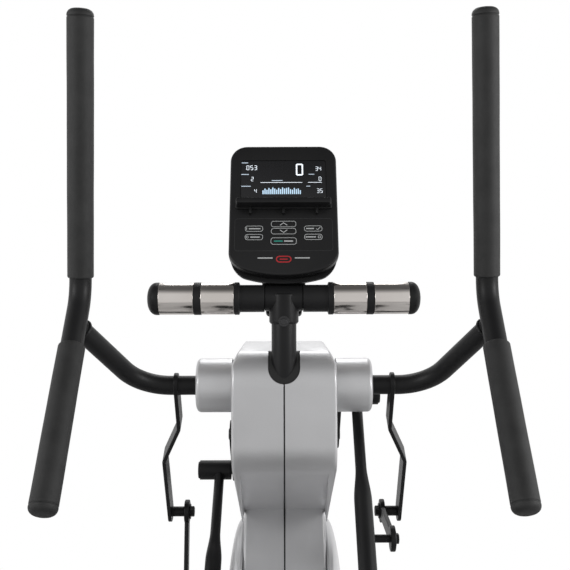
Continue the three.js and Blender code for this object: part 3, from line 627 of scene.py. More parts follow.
def housing_half(name, sign, node):
    """One half: the wide hood, joined with the neck, drum and skirt, hollowed, and cut for mast and
    axles."""
    flank = moulded(NECK_HALF, COVER_HALF, 5.0)
    inner = stack(inner_hood, [(SEAM, 0.8), (SEAM + 0.8, 0), (NECK_HALF - 12, 0), (NECK_HALF + 0.1, 0)])
    half = piece(name, sided([waisted(inner)], sign), silver_paint, "frame", [node])
    wide = waisted(stack(wide_hood, [(NECK_HALF - 0.4, 0)] + flank[2:]))
    for part in [wide] + [stack(outline, moulded(SEAM, NECK_HALF, 6.0)) for outline in (neck, skirt, drum)]:
        carve(half, sided([part], sign), "UNION")
    for outline in (inner_hood, neck, drum):
        hollow = stack(lambda inset: outline(inset + WALL), [(-1, 0), (NECK_HALF - WALL, 0)])
        carve(half, sided([hollow], sign))
    under = lambda inset: hood_outline(inset + WALL + 4, 55, NECK_Y + 10)
    inside = [(NECK_HALF - WALL - 0.5, 0), (COVER_HALF - WALL - 9, 0)]
    carve(half, sided([waisted(stack(under, inside))], sign))
    carve(half, [gate(GATE_R, (FACE_Y - 5, OPENING_Y))])
    through = (40, COVER_HALF + 20)
    carve(half, sided([rod(AXLE_HOLE_R, through)], sign))
    carve(half, sided([rod(CRANK_HOLE_R, through, *CRANK)], sign))
    print(name, "faces:", len(half.data.polygons))


for side, sign in SIDES:
    housing_half(f"{side}_housing", sign, f"{side}_housing_shell")

# %% [markdown]
# Between the halves lies a dark tongue, set back from the faces, so that no light shows through the seam.
# Its black is painted shade: it makes the seam read as a fine dark line, where the real gap is dark from
# shade. It is a ribbon that follows the same outlines.

# %% Seam tongue: painted shade in the seam
TONGUE_HALF, TONGUE_TOP, TONGUE_FOOT = SEAM - 0.15, 2.2, 6.2
band = [(-TONGUE_HALF, TONGUE_TOP), (TONGUE_HALF, TONGUE_TOP), (TONGUE_HALF, TONGUE_FOOT),
        (-TONGUE_HALF, TONGUE_FOOT)]
# painted shade: a black band in the hood's seam gap that stands in for the shade inside it and blocks light
# through it
upper_shade_tongue = piece("seam_shade_tongue", [stack(inner_hood, band, True)], moulded_black, "frame")
carve(upper_shade_tongue, [gate(GATE_R + 0.5, (FACE_Y - 5, OPENING_Y + 1))])
# painted shade: the same black band in the seams of the neck, drum and skirt
piece("lower_seam_shade_tongue", [stack(outline, band, True) for outline in (neck, drum, skirt)], moulded_black,
      "frame")

# %% [markdown]
# ## Gasket, side covers and pivot covers
# A rubber gasket closes the opening round the mast and follows the hood's round. The side covers are
# shallow domes over the flywheel, and the pivot covers are short cups round the handlebar hubs: both
# are turned parts.

# %% Gasket
gasket_band = stack(inner_hood, [(-GATE_R, 1.2), (GATE_R, 1.2)])
gasket = piece("mast_gasket_moulded", [gasket_band], tyre_rubber, "frame", ["mast_gasket"])
carve(gasket, [gate(GATE_R - 0.3, (FACE_Y - 5, OPENING_Y - 0.3))], "INTERSECT")
carve(gasket, [turned([(PIVOT_Z - 50, MAST_R + 0.4), (TOP_Z + 10, MAST_R + 0.4)], MAST_FOOT, UP)])

# %% Side covers
DOME_R = 225.0
DOME_DEPTH = 34.0


def dome():
    """Half an ellipse for the crown and a rolled bead at the rim, turned about the flywheel's axle."""
    x0 = NECK_HALF + 0.3
    a = np.linspace(math.radians(2), math.pi / 2, 22)
    crown = np.column_stack([x0 + 6 + (DOME_DEPTH - 6) * np.cos(a), (DOME_R - 3) * np.sin(a)])
    rim = [(x0 + 5.5, DOME_R - 0.8), (x0 + 3.5, DOME_R), (x0 + 1.2, DOME_R - 0.6), (x0, DOME_R - 2.2),
           (x0, DOME_R - 8)]
    return turned([*crown, *rim], (0, *WHEEL_HUB), sides=128)


for side, sign in SIDES:
    piece(f"{side}_dome_cover", sided([dome()], sign), silver_paint, "frame", [f"{side}_side_cover"])

# %% Pivot covers
PIVOT_COVER_R = 42.0
PIVOT_COVER_X = (COVER_HALF + 0.3, COVER_HALF + 56)
ARM_TUBE_R = 15.0


def cup_profile():
    """A cup from the side: skirt against the hood, round shoulder, flat outer face, and a lipped hole."""
    x0, x1 = PIVOT_COVER_X
    hole = ARM_TUBE_R + 1.0
    corners = [(x0, hole), (x0, PIVOT_COVER_R - 0.6), (x0 + 0.8, PIVOT_COVER_R), (x1, PIVOT_COVER_R),
               (x1, hole + 3), (x1 - 1.5, hole + 1.5), (x1 - 1.5, hole), (x0 + 6, hole)]
    return rounded(corners, [0, 0, 7.0, 0.6, 0.5, 0], steps=7)


for side, sign in SIDES:
    piece(f"{side}_pivot_cup", sided([wheel(cup_profile(), 0, PIVOT_Z)], sign), silver_paint, "frame",
          [f"{side}_pivot_cover"])
print("covers made")

# %% [markdown]
# ## Mast, tee and pulse bar
# The mast is a steel tube that ends in a tee. Its sleeve has a chamfered lower rim and a clamping bolt
# that faces the rider. The pulse grips are moulded, with a domed end and black collars between two
# stainless sleeves.

# %% Mast and tee
BAR_Z = PIVOT_Z + 136.5
BAR_R = 15.9
BAR_AT = (0, MAST_Y, BAR_Z)
piece("mast_post", [disc((PIVOT_Z - 41, BAR_Z - BAR_R - 6), MAST_R, 1.0, MAST_FOOT, 64, 15.0, UP)],
      powder_coat, "frame", ["mast_tube"])

stem = rounded([(PIVOT_Z + 98, MAST_R + 0.3), (PIVOT_Z + 98, MAST_R + 1.2), (PIVOT_Z + 101, MAST_R + 3.4),
                (BAR_Z + 8, MAST_R + 3.4), (BAR_Z + 8, 4)], [0.4, 0.8, 3.0])
mast_tee = piece("mast_tee", [turned(stem, MAST_FOOT, UP, 64)], powder_coat, "frame")
carve(mast_tee, [disc((-29, 29), MAST_R + 0.3, 1.5, BAR_AT, 64, BAR_R + 0.4)], "UNION")
socket = [(PIVOT_Z + 80, MAST_R + 0.3), (BAR_Z - BAR_R - 5, MAST_R + 0.3)]
carve(mast_tee, [turned(socket, MAST_FOOT, UP, 64)])
piece("pulse_bar_tube", [rod(BAR_R, (-200, 200), MAST_Y, BAR_Z, 64)], powder_coat, "frame",
      ["pulse_bar"])

# %% [markdown]
# The console stands on a flat neck that runs up from the tee behind it. The console leans back, so
# everything on it is placed in its own directions: u across, v up its face, and n out of the face
# towards the rider.

# %% Console directions and the neck
LEAN = math.radians(66.9)
CONSOLE_O = np.array([0.0, 0.0, PIVOT_Z + 277.5])
ALONG_V = np.array([0.0, math.cos(LEAN), math.sin(LEAN)])
ALONG_N = np.array([0.0, -math.sin(LEAN), math.cos(LEAN)])


def on_console(uvn):
    """Points given across, up and out of the console's face, as points of the machine."""
    uvn = np.asarray(uvn, float)
    return CONSOLE_O + uvn[..., :1] * UNIT["x"] + uvn[..., 1:2] * ALONG_V + uvn[..., 2:] * ALONG_N


def slab(outline_at, stations, centre=(0, 0), loop=False):
    """A closed skin on the console: outline_at(inset) gives (u, v), and each station is (n, inset)."""
    return skin(on_console([in_plane(outline_at(inset) + centre, n, 2) for n, inset in stations]), loop)


def plain(width, height, radius, least=0.2, steps=8):
    """A rounded rectangle as a function of its inset: it shrinks on all sides, and its corners with it."""
    return lambda i: rounded_outline(width - 2 * i, height - 2 * i, max(radius - i, least), steps)


def pad(width, height, radius, low, high, edge, centre=(0, 0), steps=8):
    """A slab with a rounded rectangle for outline and soft rims."""
    return slab(plain(width, height, radius, 0.2, steps), soft_edge(low, high, edge), centre)


NECK_W, NECK_L, NECK_BACK, NECK_FRONT, NECK_V = 56, 122, -59.4, -46.2, -99
neck_points, neck_faces = pad(NECK_W, NECK_L, 6, NECK_BACK, NECK_FRONT, 2.5, (0, NECK_V))
rise = np.clip((neck_points[:, 2] - BAR_Z - 4) / 44, 0, 1)
neck_block = (neck_points * np.column_stack([1 + 0.5 * rise, np.ones((len(rise), 2))]), neck_faces)
c, s = circle(32)
saddle = skin([in_plane(np.column_stack([MAST_Y + 16 + deep * c, BAR_Z + 13 * s]), u, 0)
               for u, deep in ((-20, 16), (-19, 16.9), (19, 16.9), (20, 16))])
piece("console_neck", [neck_block, saddle], powder_coat, "frame", ["tee_head"])

bolt_at, to_rider = (0, MAST_Y - MAST_R - 3.2, BAR_Z - 34), (0, -1, 0)
WASHER_T, WASHER_R, HEX_R, HEX_TOP = 1.4, 8.12, 5.6, 5.6
hex_head = [disc((0, WASHER_T), WASHER_R, 0.3, bolt_at, 32, 0.5, to_rider),
            turned([(0.7, HEX_R), (HEX_TOP - 0.8, HEX_R), (HEX_TOP, HEX_R - 1)], bolt_at, to_rider, 6)]
piece("tee_bolt", hex_head, black_oxide, "frame", angle=20)

# %% [markdown]
# Each pulse grip is one moulding, turned: collar, two seats for the sleeves with ridges between them,
# and a domed end. The sleeves are thin rings whose rims are rolled in, so the light catches them.

# %% Pulse grips and plates
PULSE_R = 24.5
PULSE_END = 208.0
PLATES = (("inner", 75.0, 126.0), ("outer", 136.5, 190.0))
GRIP_START = 66.5


def grip_profile():
    """The moulding from the tee outwards: thin neck, step up, two seats, and an elliptic dome."""
    seat, ridge = PULSE_R - 1.9, PULSE_R + 0.4
    (_, p0, p1), (_, q0, q1) = PLATES
    body = [(29.5, BAR_R + 0.3), (29.5, 20.75), (GRIP_START, 20.75), (GRIP_START + 1.5, ridge), (p0, ridge),
            (p0, seat), (p1, seat), (p1, ridge), (q0, ridge), (q0, seat), (q1, seat), (q1, ridge),
            (q1 + 4, ridge)]
    edges = [0.8, 0.6, 0.8, 0.5, 0.3, 0.3, 0.5, 0.5, 0.3, 0.3, 0.5]
    line = rounded(body, edges, 4)
    a = np.linspace(0, math.radians(86), 14)
    dome = np.column_stack([q1 + 4 + (PULSE_END - q1 - 4) * np.sin(a), ridge * np.cos(a) ** 0.75])
    return np.concatenate([line, dome[1:]])


for side, sign in SIDES:
    piece(f"{side}_pulse_moulding", sided([turned(grip_profile(), BAR_AT, sides=72)], sign),
          moulded_black, "frame", [f"{side}_pulse_grip"])
    for which, start, end in PLATES:
        ring = disc((start + 0.4, end - 0.4), PULSE_R, 0.9, BAR_AT, 96, PULSE_R - 1.5, steps=5)
        piece(f"{side}_{which}_plate_sleeve", sided([ring], sign), brushed, "frame",
              [f"{side}_{which}_pulse_plate"])
print("pulse bar made")

# %% [markdown]
# ## Console
# The face is a rounded rectangle whose lower edge bows down. Its wall is solid here except for the
# window and the holes of the keys, which are cut, so that each key can sink into its own hole.

# %% Console shells
FACE_W, FACE_L, FACE_DEEP = 170.0, 229.0, 18.0
LCD_W, LCD_H, LCD_V = 136.0, 68.0, 53.0
KEYS = (
    ("upper_left_key", -46, -36, 29, 11), ("lower_left_key", -46, -50.5, 29, 11),
    ("upper_right_key", 46, -36, 29, 11), ("lower_right_key", 46, -50.5, 29, 11),
    ("up_key", 0, -28, 40, 11.4), ("down_key", 0, -40.4, 40, 11.4), ("start_key", 0, -57.5, 41, 13)
)
BOW = 19.0
FACE_POINTS = 240
SHELL_DROP = 9.0
GAP = 0.6


def face_outline(inset):
    """A rounded rectangle; below the keys every point rises with the square of its distance from the
    middle, which bows the lower edge."""
    corners = rounded_outline(FACE_W - 2 * inset, FACE_L - 2 * inset, 27 - min(inset, 20), 12)
    loop = np.vstack([corners, corners[:1]])
    along = np.r_[0, np.cumsum(np.linalg.norm(np.diff(loop, axis=0), axis=1))]
    even = np.linspace(0, along[-1], FACE_POINTS, endpoint=False)
    uv = np.column_stack([np.interp(even, along, loop[:, 0]), np.interp(even, along, loop[:, 1])])
    low = np.clip((-uv[:, 1] - 50) / 64, 0, 1)
    uv[:, 1] += BOW * (uv[:, 0] / (FACE_W / 2)) ** 2 * low
    return uv


def shell_outline(inset):
    """The face's outline with its lower edge let down, so that the rear shell shows below the face."""
    uv = face_outline(inset)
    uv[:, 1] -= SHELL_DROP * np.clip((-uv[:, 1] - 60) / 40, 0, 1)
    return uv


face = slab(face_outline, [(-FACE_DEEP, 4), (-FACE_DEEP, 1.2), (-FACE_DEEP + 0.8, 0.4), (-12, 0), (-3.4, 0),
                           (-2, 0.4), (-0.9, 1.2), (-0.25, 2.4), (0, 4)])
console_face = piece("console_face", [face], console_black, "frame", ["console_front"])
carve(console_face, [pad(LCD_W + GAP, LCD_H + GAP, 4, -6, 3, 0.2, (0, LCD_V))]
      + [pad(w + GAP, h + GAP, 4.7, -6, 3, 0.2, (u, v), 6) for _, u, v, w, h in KEYS])

back_low = -FACE_DEEP - 0.3
rear = [slab(shell_outline, [(back_low - 10, 9), (back_low - 9, 5), (back_low - 6, 3.2), (back_low, 2.6)]),
        slab(plain(144, 199, 20), [(back_low - 27, 8), (back_low - 25.5, 3.5), (back_low - 22, 1),
                                   (back_low - 9, 0)])]
piece("console_rear", rear, moulded_black, "frame", ["console_back"])
piece("window_glass", [pad(LCD_W, LCD_H, 4, -3, -0.8, 0.3, (0, LCD_V))], dark_glass, "frame",
      ["display_window"])

# %% [markdown]
# ### Display
# The display shows a segment readout. A digit is seven bars, and the bars that are on make the number,
# so a table of seven flags for each digit is all that is needed. Captions are plain dashes, because
# only numbers are wanted, and the profile of the workout is a row of columns of different heights.

# %% Segments, captions and columns
GLASS_N = -0.75
SEGMENTS = {"0": "1110111", "2": "1011101", "3": "1011011", "4": "0111010", "5": "1101011"}


def bar(u, v, width, height):
    """A flat lit bar on the glass, centred on (u, v)."""
    return pad(width, height, min(width, height) * 0.2, GLASS_N, GLASS_N + 0.12, 0.03, (u, v), 2)


def digit(mark, u, v, size):
    """The lit segments of one digit: top, upper left, upper right, middle, lower left, lower right,
    bottom."""
    w, h, t = size * 0.42, size * 0.88, size * 0.12
    spots = ((0, h / 2, w, t), (-w / 2, h / 4, t, h / 2), (w / 2, h / 4, t, h / 2), (0, 0, w, t),
             (-w / 2, -h / 4, t, h / 2), (w / 2, -h / 4, t, h / 2), (0, -h / 2, w, t))
    return [bar(u + du, v + dv, max(bw - 0.35, 0.4), max(bh - 0.35, 0.4))
            for on, (du, dv, bw, bh) in zip(SEGMENTS[mark], spots) if on == "1"]


READOUTS = (("053", -57.0, 74.1, 8.6, 0.72), ("0", 25.8, 70.4, 22.0, 1), ("2", -49.6, 53.3, 8.0, 1),
            ("4", -44.5, 31.6, 7.6, 1), ("34", 53.1, 72.0, 8.0, 0.66), ("0", 58.4, 53.3, 8.2, 1),
            ("35", 54.8, 31.6, 8.0, 0.66))
white_parts = [bar(-3.2, 46.9, 66.5, 0.7), bar(50, 46.9, 22.0, 0.7)]
for marks, u, v, size, pitch in READOUTS:
    for k, mark in enumerate(marks):
        white_parts += digit(mark, u + k * size * pitch, v, size)
heights = np.array([7, 10, 8, 11, 9, 12, 10, 8, 11, 9, 12, 10, 11, 12, 9, 8, 11, 9, 10, 7], float)
column_u = np.linspace(-32.4, 26.6, len(heights))
columns = [bar(u, 25.7 + h / 2, 1.9, h) for u, h in zip(column_u, heights)]
captions = [bar(u, v, w, 1.3) for u, v, w in (
    (-62, 83.2, 10), (-61.3, 61.8, 12), (-59.5, 40.2, 15), (-10, 50.4, 17), (44.9, 61.8, 9), (39.5, 40, 6.5))]
piece("display_numbers", white_parts, white_segment, "frame", angle=20)
piece("display_columns", columns, blue_segment, "frame", angle=20)
piece("display_captions", captions, dim_segment, "frame", angle=20)

# %% [markdown]
# ### Ledge, keys and printing
# A ledge for a tablet crosses the console under the window: a lip with three ribs below it. The keys
# are flush caps with a thin printed outline and a small generic sign on each. Every outline rides on
# its key.

# %% Ledge
ledge_lip = pad(148, 9, 3.6, 0.2, 22, 1.6, (0, 3.5), 6)
ledge_root = pad(152, 13, 4, 0.2, 4.0, 1.5, (0, 4.5), 6)
ribs = [pad(4, 12.0, 1.2, 0.3, 7, 0.8, (k * 52, -5.5), 4) for k in (-1, 0, 1)]
piece("ledge", [ledge_lip, ledge_root] + ribs, console_black, "frame", ["tablet_ledge"])


CAP_TOP = 0.5
INK = (CAP_TOP - 0.02, CAP_TOP + 0.1)
PRINT = (-0.02, 0.1)


def outline_print(width, height, radius, line, centre, span=INK):
    """A thin raised frame: a band between two rounded rectangles, one line width apart."""
    low, high = span
    stations = [(low, 0), (high, 0), (high, line), (low, line)]
    return slab(plain(width, height, radius, 0.3, 6), stations, centre, True)


def stroke(points, width, span=INK):
    """A thin raised line along points (u, v): its edges lie half a width to each side of it."""
    line, (low, high) = np.asarray(points, float), span
    ahead = headings(line)
    side = np.column_stack([-ahead[:, 1], ahead[:, 0]]) * width / 2
    rings = [in_plane(uv, n, 2) for uv, n in
             ((line + side, low), (line + side, high), (line - side, high), (line - side, low))]
    return skin(on_console(np.stack(rings, axis=1)))


# %% Keys and their signs
signs = {
    "upper_left_key": [stroke([(-57.5, -38.2), (-57.5, -33.8)], 1.1), stroke([(-54, -36), (-36, -36)], 1.9)],
    "lower_left_key": [outline_print(4.2, 4.2, 2.0, 0.8, (-56.5, -50.5)),
                       stroke([(-51.5, -50.5), (-37, -50.5)], 1.9)],
    "upper_right_key": [stroke([(35, -36), (47, -36)], 1.9),
                        stroke([(50.5, -36), (52.5, -38.2), (57, -33.4)], 1.0)],
    "lower_right_key": [stroke([(34, -50.5), (50, -50.5)], 1.9),
                        outline_print(4.6, 4.2, 1.0, 0.8, (55.5, -50.5))],
    "up_key": [stroke([(-5.6, -30.2), (0, -25.8), (5.6, -30.2)], 1.3)],
    "down_key": [stroke([(-5.6, -38.2), (0, -42.6), (5.6, -38.2)], 1.3)],
    "start_key": [stroke([(0.5, -57.5), (14.5, -57.5)], 2.2)],
}
for name, u, v, w, h in KEYS:
    body = f"{name}_cap"
    cap = pad(w, h, 4.4, -3, CAP_TOP, 0.35, (u, v), 6)
    piece(f"{name}_button", [cap], console_black, body, [name])
    frame_line = outline_print(w - 0.9, h - 0.9, 4.2, 0.8, (u, v))
    piece(f"{name}_print", [frame_line] + signs[name], grey_ink, body, angle=20)
piece("start_key_green", [stroke([(-15, -57.5), (-1.5, -57.5)], 2.2)], green_ink, "start_key_cap",
      angle=20)

field = outline_print(FACE_W - 18, 56, 5, 0.35, (0, -46), PRINT)
pill = [outline_print(24, 11.5, 5.7, 1.9, (0, -88), PRINT), stroke([(-6, -88), (6, -88)], 1.9, PRINT)]
dashes = [stroke([(a, -86), (b, -86)], 1.9, PRINT) for a, b in ((-40, -17), (17, 40))]
for name, prints, ink in (("key_field_line", [field], line_ink), ("maker_plate", pill, red_ink),
                          ("maker_dashes", dashes, grey_ink)):
    piece(name, prints, ink, "frame", angle=20)
print("console made")

# %% [markdown]
# ## Handlebars
# Each handlebar is a bent arm from its hub and a long upright, welded where they cross. The tubes are
# circles carried along lines with round bends. A flat lever hangs from the hub, steps outwards, and
# ends in a pin for the link. The weld is a wavy bead round the arm where it meets the upright.

# %% Handlebar tubes
HUB_X = COVER_HALF + 4
ARM_LINE = np.array([(HUB_X, 0, 0), (225, 0, 0), (297, -120, 100)], float)
LOW_TIP, UPRIGHT_BEND, TOP_TIP = np.array([(299, -283, -119), (296, -97, 142), (281, -156, 533)], float)
TUBE_R = 16.0
FROM_AXLE = np.array([0, 0, PIVOT_Z])


def toward(a, b, distance):
    """The point at a distance from a on the way to b."""
    return a + (b - a) / np.linalg.norm(b - a) * distance


def bead(centre, axis, radius, thick, ripples=22, sides=132):
    """A weld bead: a ring round an axis whose section swells and shrinks in a row of small overlapping
    scales."""
    axis = np.asarray(axis, float) / np.linalg.norm(axis)
    first, second = across(axis)
    c, s = circle(sides)
    angle = np.arange(sides) * 2 * math.pi / sides
    swell = thick * (0.85 + 0.15 * np.abs(np.sin(angle * ripples / 2)))
    cc, cs = circle(10)
    outward = c[:, None] * first + s[:, None] * second
    rings = centre + (radius + swell[:, None] * cc)[..., None] * outward[:, None] \
        + (swell[:, None] * cs)[..., None] * axis
    return skin(rings, loop=True)


# %% [markdown]
# The lever is a strip of steel plate. Its line steps outwards, its width is constant, and both ends are
# round: near an end the half width is the height of a circle over the strip.

# %% Lever
LEG_X = COVER_HALF + 42.0
SLEEVE_OUT = COVER_HALF + 80.0
LEVER_END = (143.0, -236.0)
LEVER_X = (SLEEVE_OUT + 6, SLEEVE_OUT + 35)
LEVER_T, LEVER_W = 6.0, 35.0
LINK_X = (SLEEVE_OUT + 5, SLEEVE_OUT + 13)
REACH = math.hypot(*LEVER_END)
LEVER_TURN = math.atan2(LEVER_END[0], -LEVER_END[1])


def strip(line, half_width, thick, edge=0.8):
    """A strip of plate along a line in the x-s plane: each ring is a rectangle with broken edges, as
    wide as half_width says at that point and as thick as the plate."""
    ahead = headings(line)
    square = np.column_stack([ahead[:, 1], -ahead[:, 0]])
    t = thick / 2
    rings = []
    for across_w, up_t in ((1, -1), (1, 1), (-1, 1), (-1, -1)):
        for cut_w, cut_t in ((0, edge), (edge, 0)) if across_w * up_t > 0 else ((edge, 0), (0, edge)):
            offset = up_t * (t - cut_t)
            w = across_w * np.maximum(half_width - cut_w, 0.05)
            rings.append(np.insert(line + square * offset, 1, w, axis=1))
    return skin(np.stack(rings, axis=1))


def turn_x(part, angle, place=(0, 0, 0)):
    """A skin turned about the x axis through the origin, then moved."""
    points, faces = part
    c, s = math.cos(angle), math.sin(angle)
    return points @ np.array([[1, 0, 0], [0, c, s], [0, -s, c]]) + np.asarray(place, float), faces


def lever():
    """The stepped strip with its boss, stub, pin and bolt head, hanging straight down before it is
    turned."""
    x0, x1 = np.array(LEVER_X) + LEVER_T / 2
    end_r = 17.0
    bends = rounded([(x0, 20), (x0, -0.28 * REACH), (x1, -0.53 * REACH), (x1, -REACH - end_r)], 12.0, 6)
    run = np.concatenate([[0], np.cumsum(np.linalg.norm(np.diff(bends, axis=0), axis=1))])
    ends = end_r * (1 - np.cos(np.linspace(0, math.pi / 2, 8)))
    s = np.unique(np.concatenate([ends, run[1:-1], run[-1] - ends]))
    line = np.column_stack([np.interp(s, run, bends[:, k]) for k in (0, 1)])
    near = np.minimum(np.minimum(s, run[-1] - s), end_r)
    width = LEVER_W / 2 * np.sqrt(np.clip(1 - (1 - near / end_r) ** 2, 0.0, 1))
    pin = (0, 0, -REACH)
    link_in, link_out = LINK_X
    parts = [strip(line, width, LEVER_T),
             disc((link_out + 1, x1 + 1), 8.5, 0.8, pin),
             rod(6.0, (link_in - 3, link_out + 2), 0, -REACH, 32),
             disc((link_in - 2.2, link_in - 0.5), 13, 0.5, pin, 40),
             turned([(link_in - 8.5, 8.0), (link_in - 7.6, 9.2), (link_in - 2.0, 9.2)], pin, sides=6),
             bead((LEVER_X[0] + LEVER_T, 0, 0), (1, 0, 0), 15.0, 1.1),
             bead((LEVER_X[0], 0, 0), (1, 0, 0), 15.0, 1.0)]
    return [turn_x(part, LEVER_TURN) for part in parts]


def handlebar():
    """Arm, upright, welds and lever."""
    arm = tube(rounded(ARM_LINE, 75.0, 20), ARM_TUBE_R, 40)
    upright = tube(rounded([LOW_TIP, UPRIGHT_BEND, TOP_TIP], 60.0, 16), TUBE_R, 40)
    meeting = toward(ARM_LINE[2], ARM_LINE[1], 12.5)
    weld = bead(meeting, ARM_LINE[2] - ARM_LINE[1], ARM_TUBE_R + 0.4, 2.4)
    return [(points + FROM_AXLE, faces) for points, faces in [arm, upright, weld] + lever()]


for side, sign in SIDES:
    piece(f"{side}_handlebar_tubes", sided(handlebar(), sign), powder_coat, f"{side}_handle",
          [f"{side}_handlebar"], angle=35)

# %% [markdown]
# ## Foam grips
# The foam is a sleeve stretched over the tube. It is a soft piece: its rim at the bend rolls in, its
# wall is not quite even, and its closed end is a round cap. The sleeve is a turned profile whose radius
# also ripples slowly along the grip and round it, which is how stretched foam settles. It is full and
# tight.

# %% Grips
FOAM_R = 19.0


def grip(rim, tip, seed):
    """A sleeve from its rim to just past the tube's tip. The radius along it is a rolled rim, a long
    straight wall, a groove, and a low round cap. A sum of slow sines along it and round it moves the
    wall by about a tenth of a millimetre."""
    run = np.linalg.norm(tip - rim) + 8.5
    a = np.linspace(0, math.pi / 2, 9)
    rim_s, rim_r = 2.6 * (1 - np.sin(a[::-1])), FOAM_R - 2.6 + 2.6 * np.cos(a[::-1])
    wall_s = np.linspace(4.5, run - 13.5, 90)
    groove_s, groove_r = run - np.array([12.6, 12.0, 11.2, 10.6]), FOAM_R - np.array([0.2, 1.1, 1.1, 0.1])
    cap_s, cap_r = run - 10 + 9.9 * np.sin(a), FOAM_R * np.cos(a) ** 0.5
    s = np.concatenate([[0.6], rim_s, wall_s, groove_s, cap_s[:-1], [run]])
    r = np.concatenate([[TUBE_R - 1], rim_r, np.full(90, FOAM_R), groove_r, cap_r[:-1], [0.6]])
    sides = 72
    angle = np.arange(sides) * 2 * math.pi / sides
    settled = 0.07 * np.sin(s[:, None] / 34 + seed + 2 * np.sin(angle))
    settled = settled + 0.05 * np.sin(s[:, None] / 15 + 3 * angle + 2 * seed)
    settled *= np.clip((r[:, None] - FOAM_R + 3) / 3, 0, 1)
    axis = (tip - rim) / np.linalg.norm(tip - rim)
    first, second = across(axis)
    outward = np.cos(angle)[:, None] * first + np.sin(angle)[:, None] * second
    rings = rim + s[:, None, None] * axis + (r[:, None] - 0.15 + settled)[..., None] * outward
    return skin(rings + FROM_AXLE)


UPPER_FROM, LOWER_FROM = 27.0, 86.0
for side, sign in SIDES:
    for which, tip, start, seed in (("upper", TOP_TIP, UPPER_FROM, 0.4), ("lower", LOW_TIP, LOWER_FROM, 1.9)):
        foam = grip(toward(UPRIGHT_BEND, tip, start), tip, seed + sign)
        sleeve = piece(f"{side}_{which}_foam", sided([foam], sign), foam_skin, f"{side}_handle",
                       [f"{side}_{which}_grip"], angle=60)
print("handlebars made")

# %% [markdown]
# ## Pedal arms, links and pedals
# A pedal arm is a tube whose upper end is drawn down where it meets the sleeve on the crank pin. Its
# lower end carries a fork for the roller. The arm leans by an angle that follows from its length and
# the height of its crank pin, so the whole arm is made upright at the origin and then leaned.

# %% Where the arms hang
CRANK_R = 114.0
CRANK_REST = -45.7
LEG_LENGTH = 1150.0
LEG_R, NECK_R, SLEEVE_R = 14.0, 8.9, 18.0
PIN_R, STUB_R, ROLLER_PIN_R = 8.0, 6.3, 6.0
ROLLER_Z, ROLLER_R, ROLLER_W = 110.0, 35.0, 26.0
STUB_DOWN, STUB_FORE = 235.0, 51.0
ARM_OUT = COVER_HALF + 17.0
PIN_ANGLE = {"left": math.radians(CRANK_REST), "right": math.radians(CRANK_REST + 180)}


def crank_pin(side):
    """The end of the crank arm, as (y, z)."""
    return CRANK + CRANK_R * np.array([math.cos(PIN_ANGLE[side]), math.sin(PIN_ANGLE[side])])


def lean(side):
    """The arm's angle from upright: its cosine is the drop from pin to roller over the arm's length."""
    return math.acos((crank_pin(side)[1] - ROLLER_Z) / LEG_LENGTH)


def hung(part, side):
    """A skin made upright below the origin, leaned and moved to its crank pin."""
    return turn_x(part, -lean(side), (0, *crank_pin(side)))


def rounded_plate(centres, radii, x, edge=0.8, steps=14):
    """A plate seen from the side as two round ends joined by straight flanks, with broken edges: the
    outline is a half circle round each centre, drawn in by the edge at both faces."""
    (a, b), (ra, rb) = np.asarray(centres, float), radii
    way = math.degrees(math.atan2(*(b - a)[::-1]))
    open_by = math.degrees(math.acos((ra - rb) / np.linalg.norm(b - a)))

    def outline(inset):
        return np.concatenate([arc(a, ra - inset, way + open_by, way - open_by + 360, steps),
                               arc(b, rb - inset, way - open_by, way + open_by, steps)])
    return stack(outline, [(x[0], edge), (x[0] + edge, 0), (x[1] - edge, 0), (x[1], edge)])


def pedal_arm():
    """Tube with its drawn-down top, sleeve with a cap, pin, lug and stub for the link, fork and roller
    axle."""
    z = -np.concatenate([[0, 60, 130], np.linspace(140, 198, 14), [230, 600, LEG_LENGTH - ROLLER_R - 20]])
    blend = np.clip((-z - 138) / 58, 0, 1)
    radius = NECK_R + (LEG_R - NECK_R) * (blend * blend * (3 - 2 * blend))
    c, s = circle(40)
    leg = skin([in_plane(np.column_stack([LEG_X + r * c, max(r, 11.5) * s]), height, 2)
                for height, r in zip(z, radius)])
    sleeve_in = ARM_OUT + 3
    fork_in, fork_out = LEG_X - ROLLER_W / 2 - 7, LEG_X + ROLLER_W / 2 + 7
    tube_end = -LEG_LENGTH + ROLLER_R + 20
    cheeks = [rounded_plate([(0, -LEG_LENGTH), (0, tube_end + 1)], (16, 14), (x, x + 5))
              for x in (fork_in, fork_out - 5)]
    bridge = stack(box_outline((-16, 16), (tube_end - 1, tube_end + 9)),
                   [(fork_in, 0.6), (fork_in + 0.6, 0), (fork_out - 0.6, 0), (fork_out, 0.6)])
    return cheeks + [
        leg, disc((sleeve_in, SLEEVE_OUT - 1), SLEEVE_R, 0.9, inner=6),
        rod(PIN_R, (ARM_OUT + 0.5, sleeve_in + 1), 0, 0, 32),
        rounded_plate([(0, -STUB_DOWN + 6), (STUB_FORE, -STUB_DOWN)], (12, 9), (LEG_X - 4, LEG_X + 4)),
        rod(STUB_R, (LEG_X - 4, LINK_X[0] - 0.3), STUB_FORE, -STUB_DOWN, 32),
        bead((LEG_X + 4.0, STUB_FORE, -STUB_DOWN), (1, 0, 0), 6.6, 1.4, 12, 72),
        bead((LEG_X, 0, -17.6), UP, 9.2, 1.6, 14, 84),
        rod(ROLLER_PIN_R, (fork_in - 3, fork_out + 3), 0, -LEG_LENGTH, 32), bridge, gusset()]


PEDAL_T = LEG_LENGTH - 380
PEDAL_LENGTH, PEDAL_WIDTH, PEDAL_HIGH, PEDAL_RIM, SETBACK = 340.0, 140.0, 18.0, 30.0, 42.0
PEDAL_PITCH = math.radians(45.6)


def level(part):
    """A skin in the pedal's own frame, turned to the pedal's pitch and moved down the arm."""
    return turn_x(part, PEDAL_PITCH, (0, 0, -PEDAL_T))


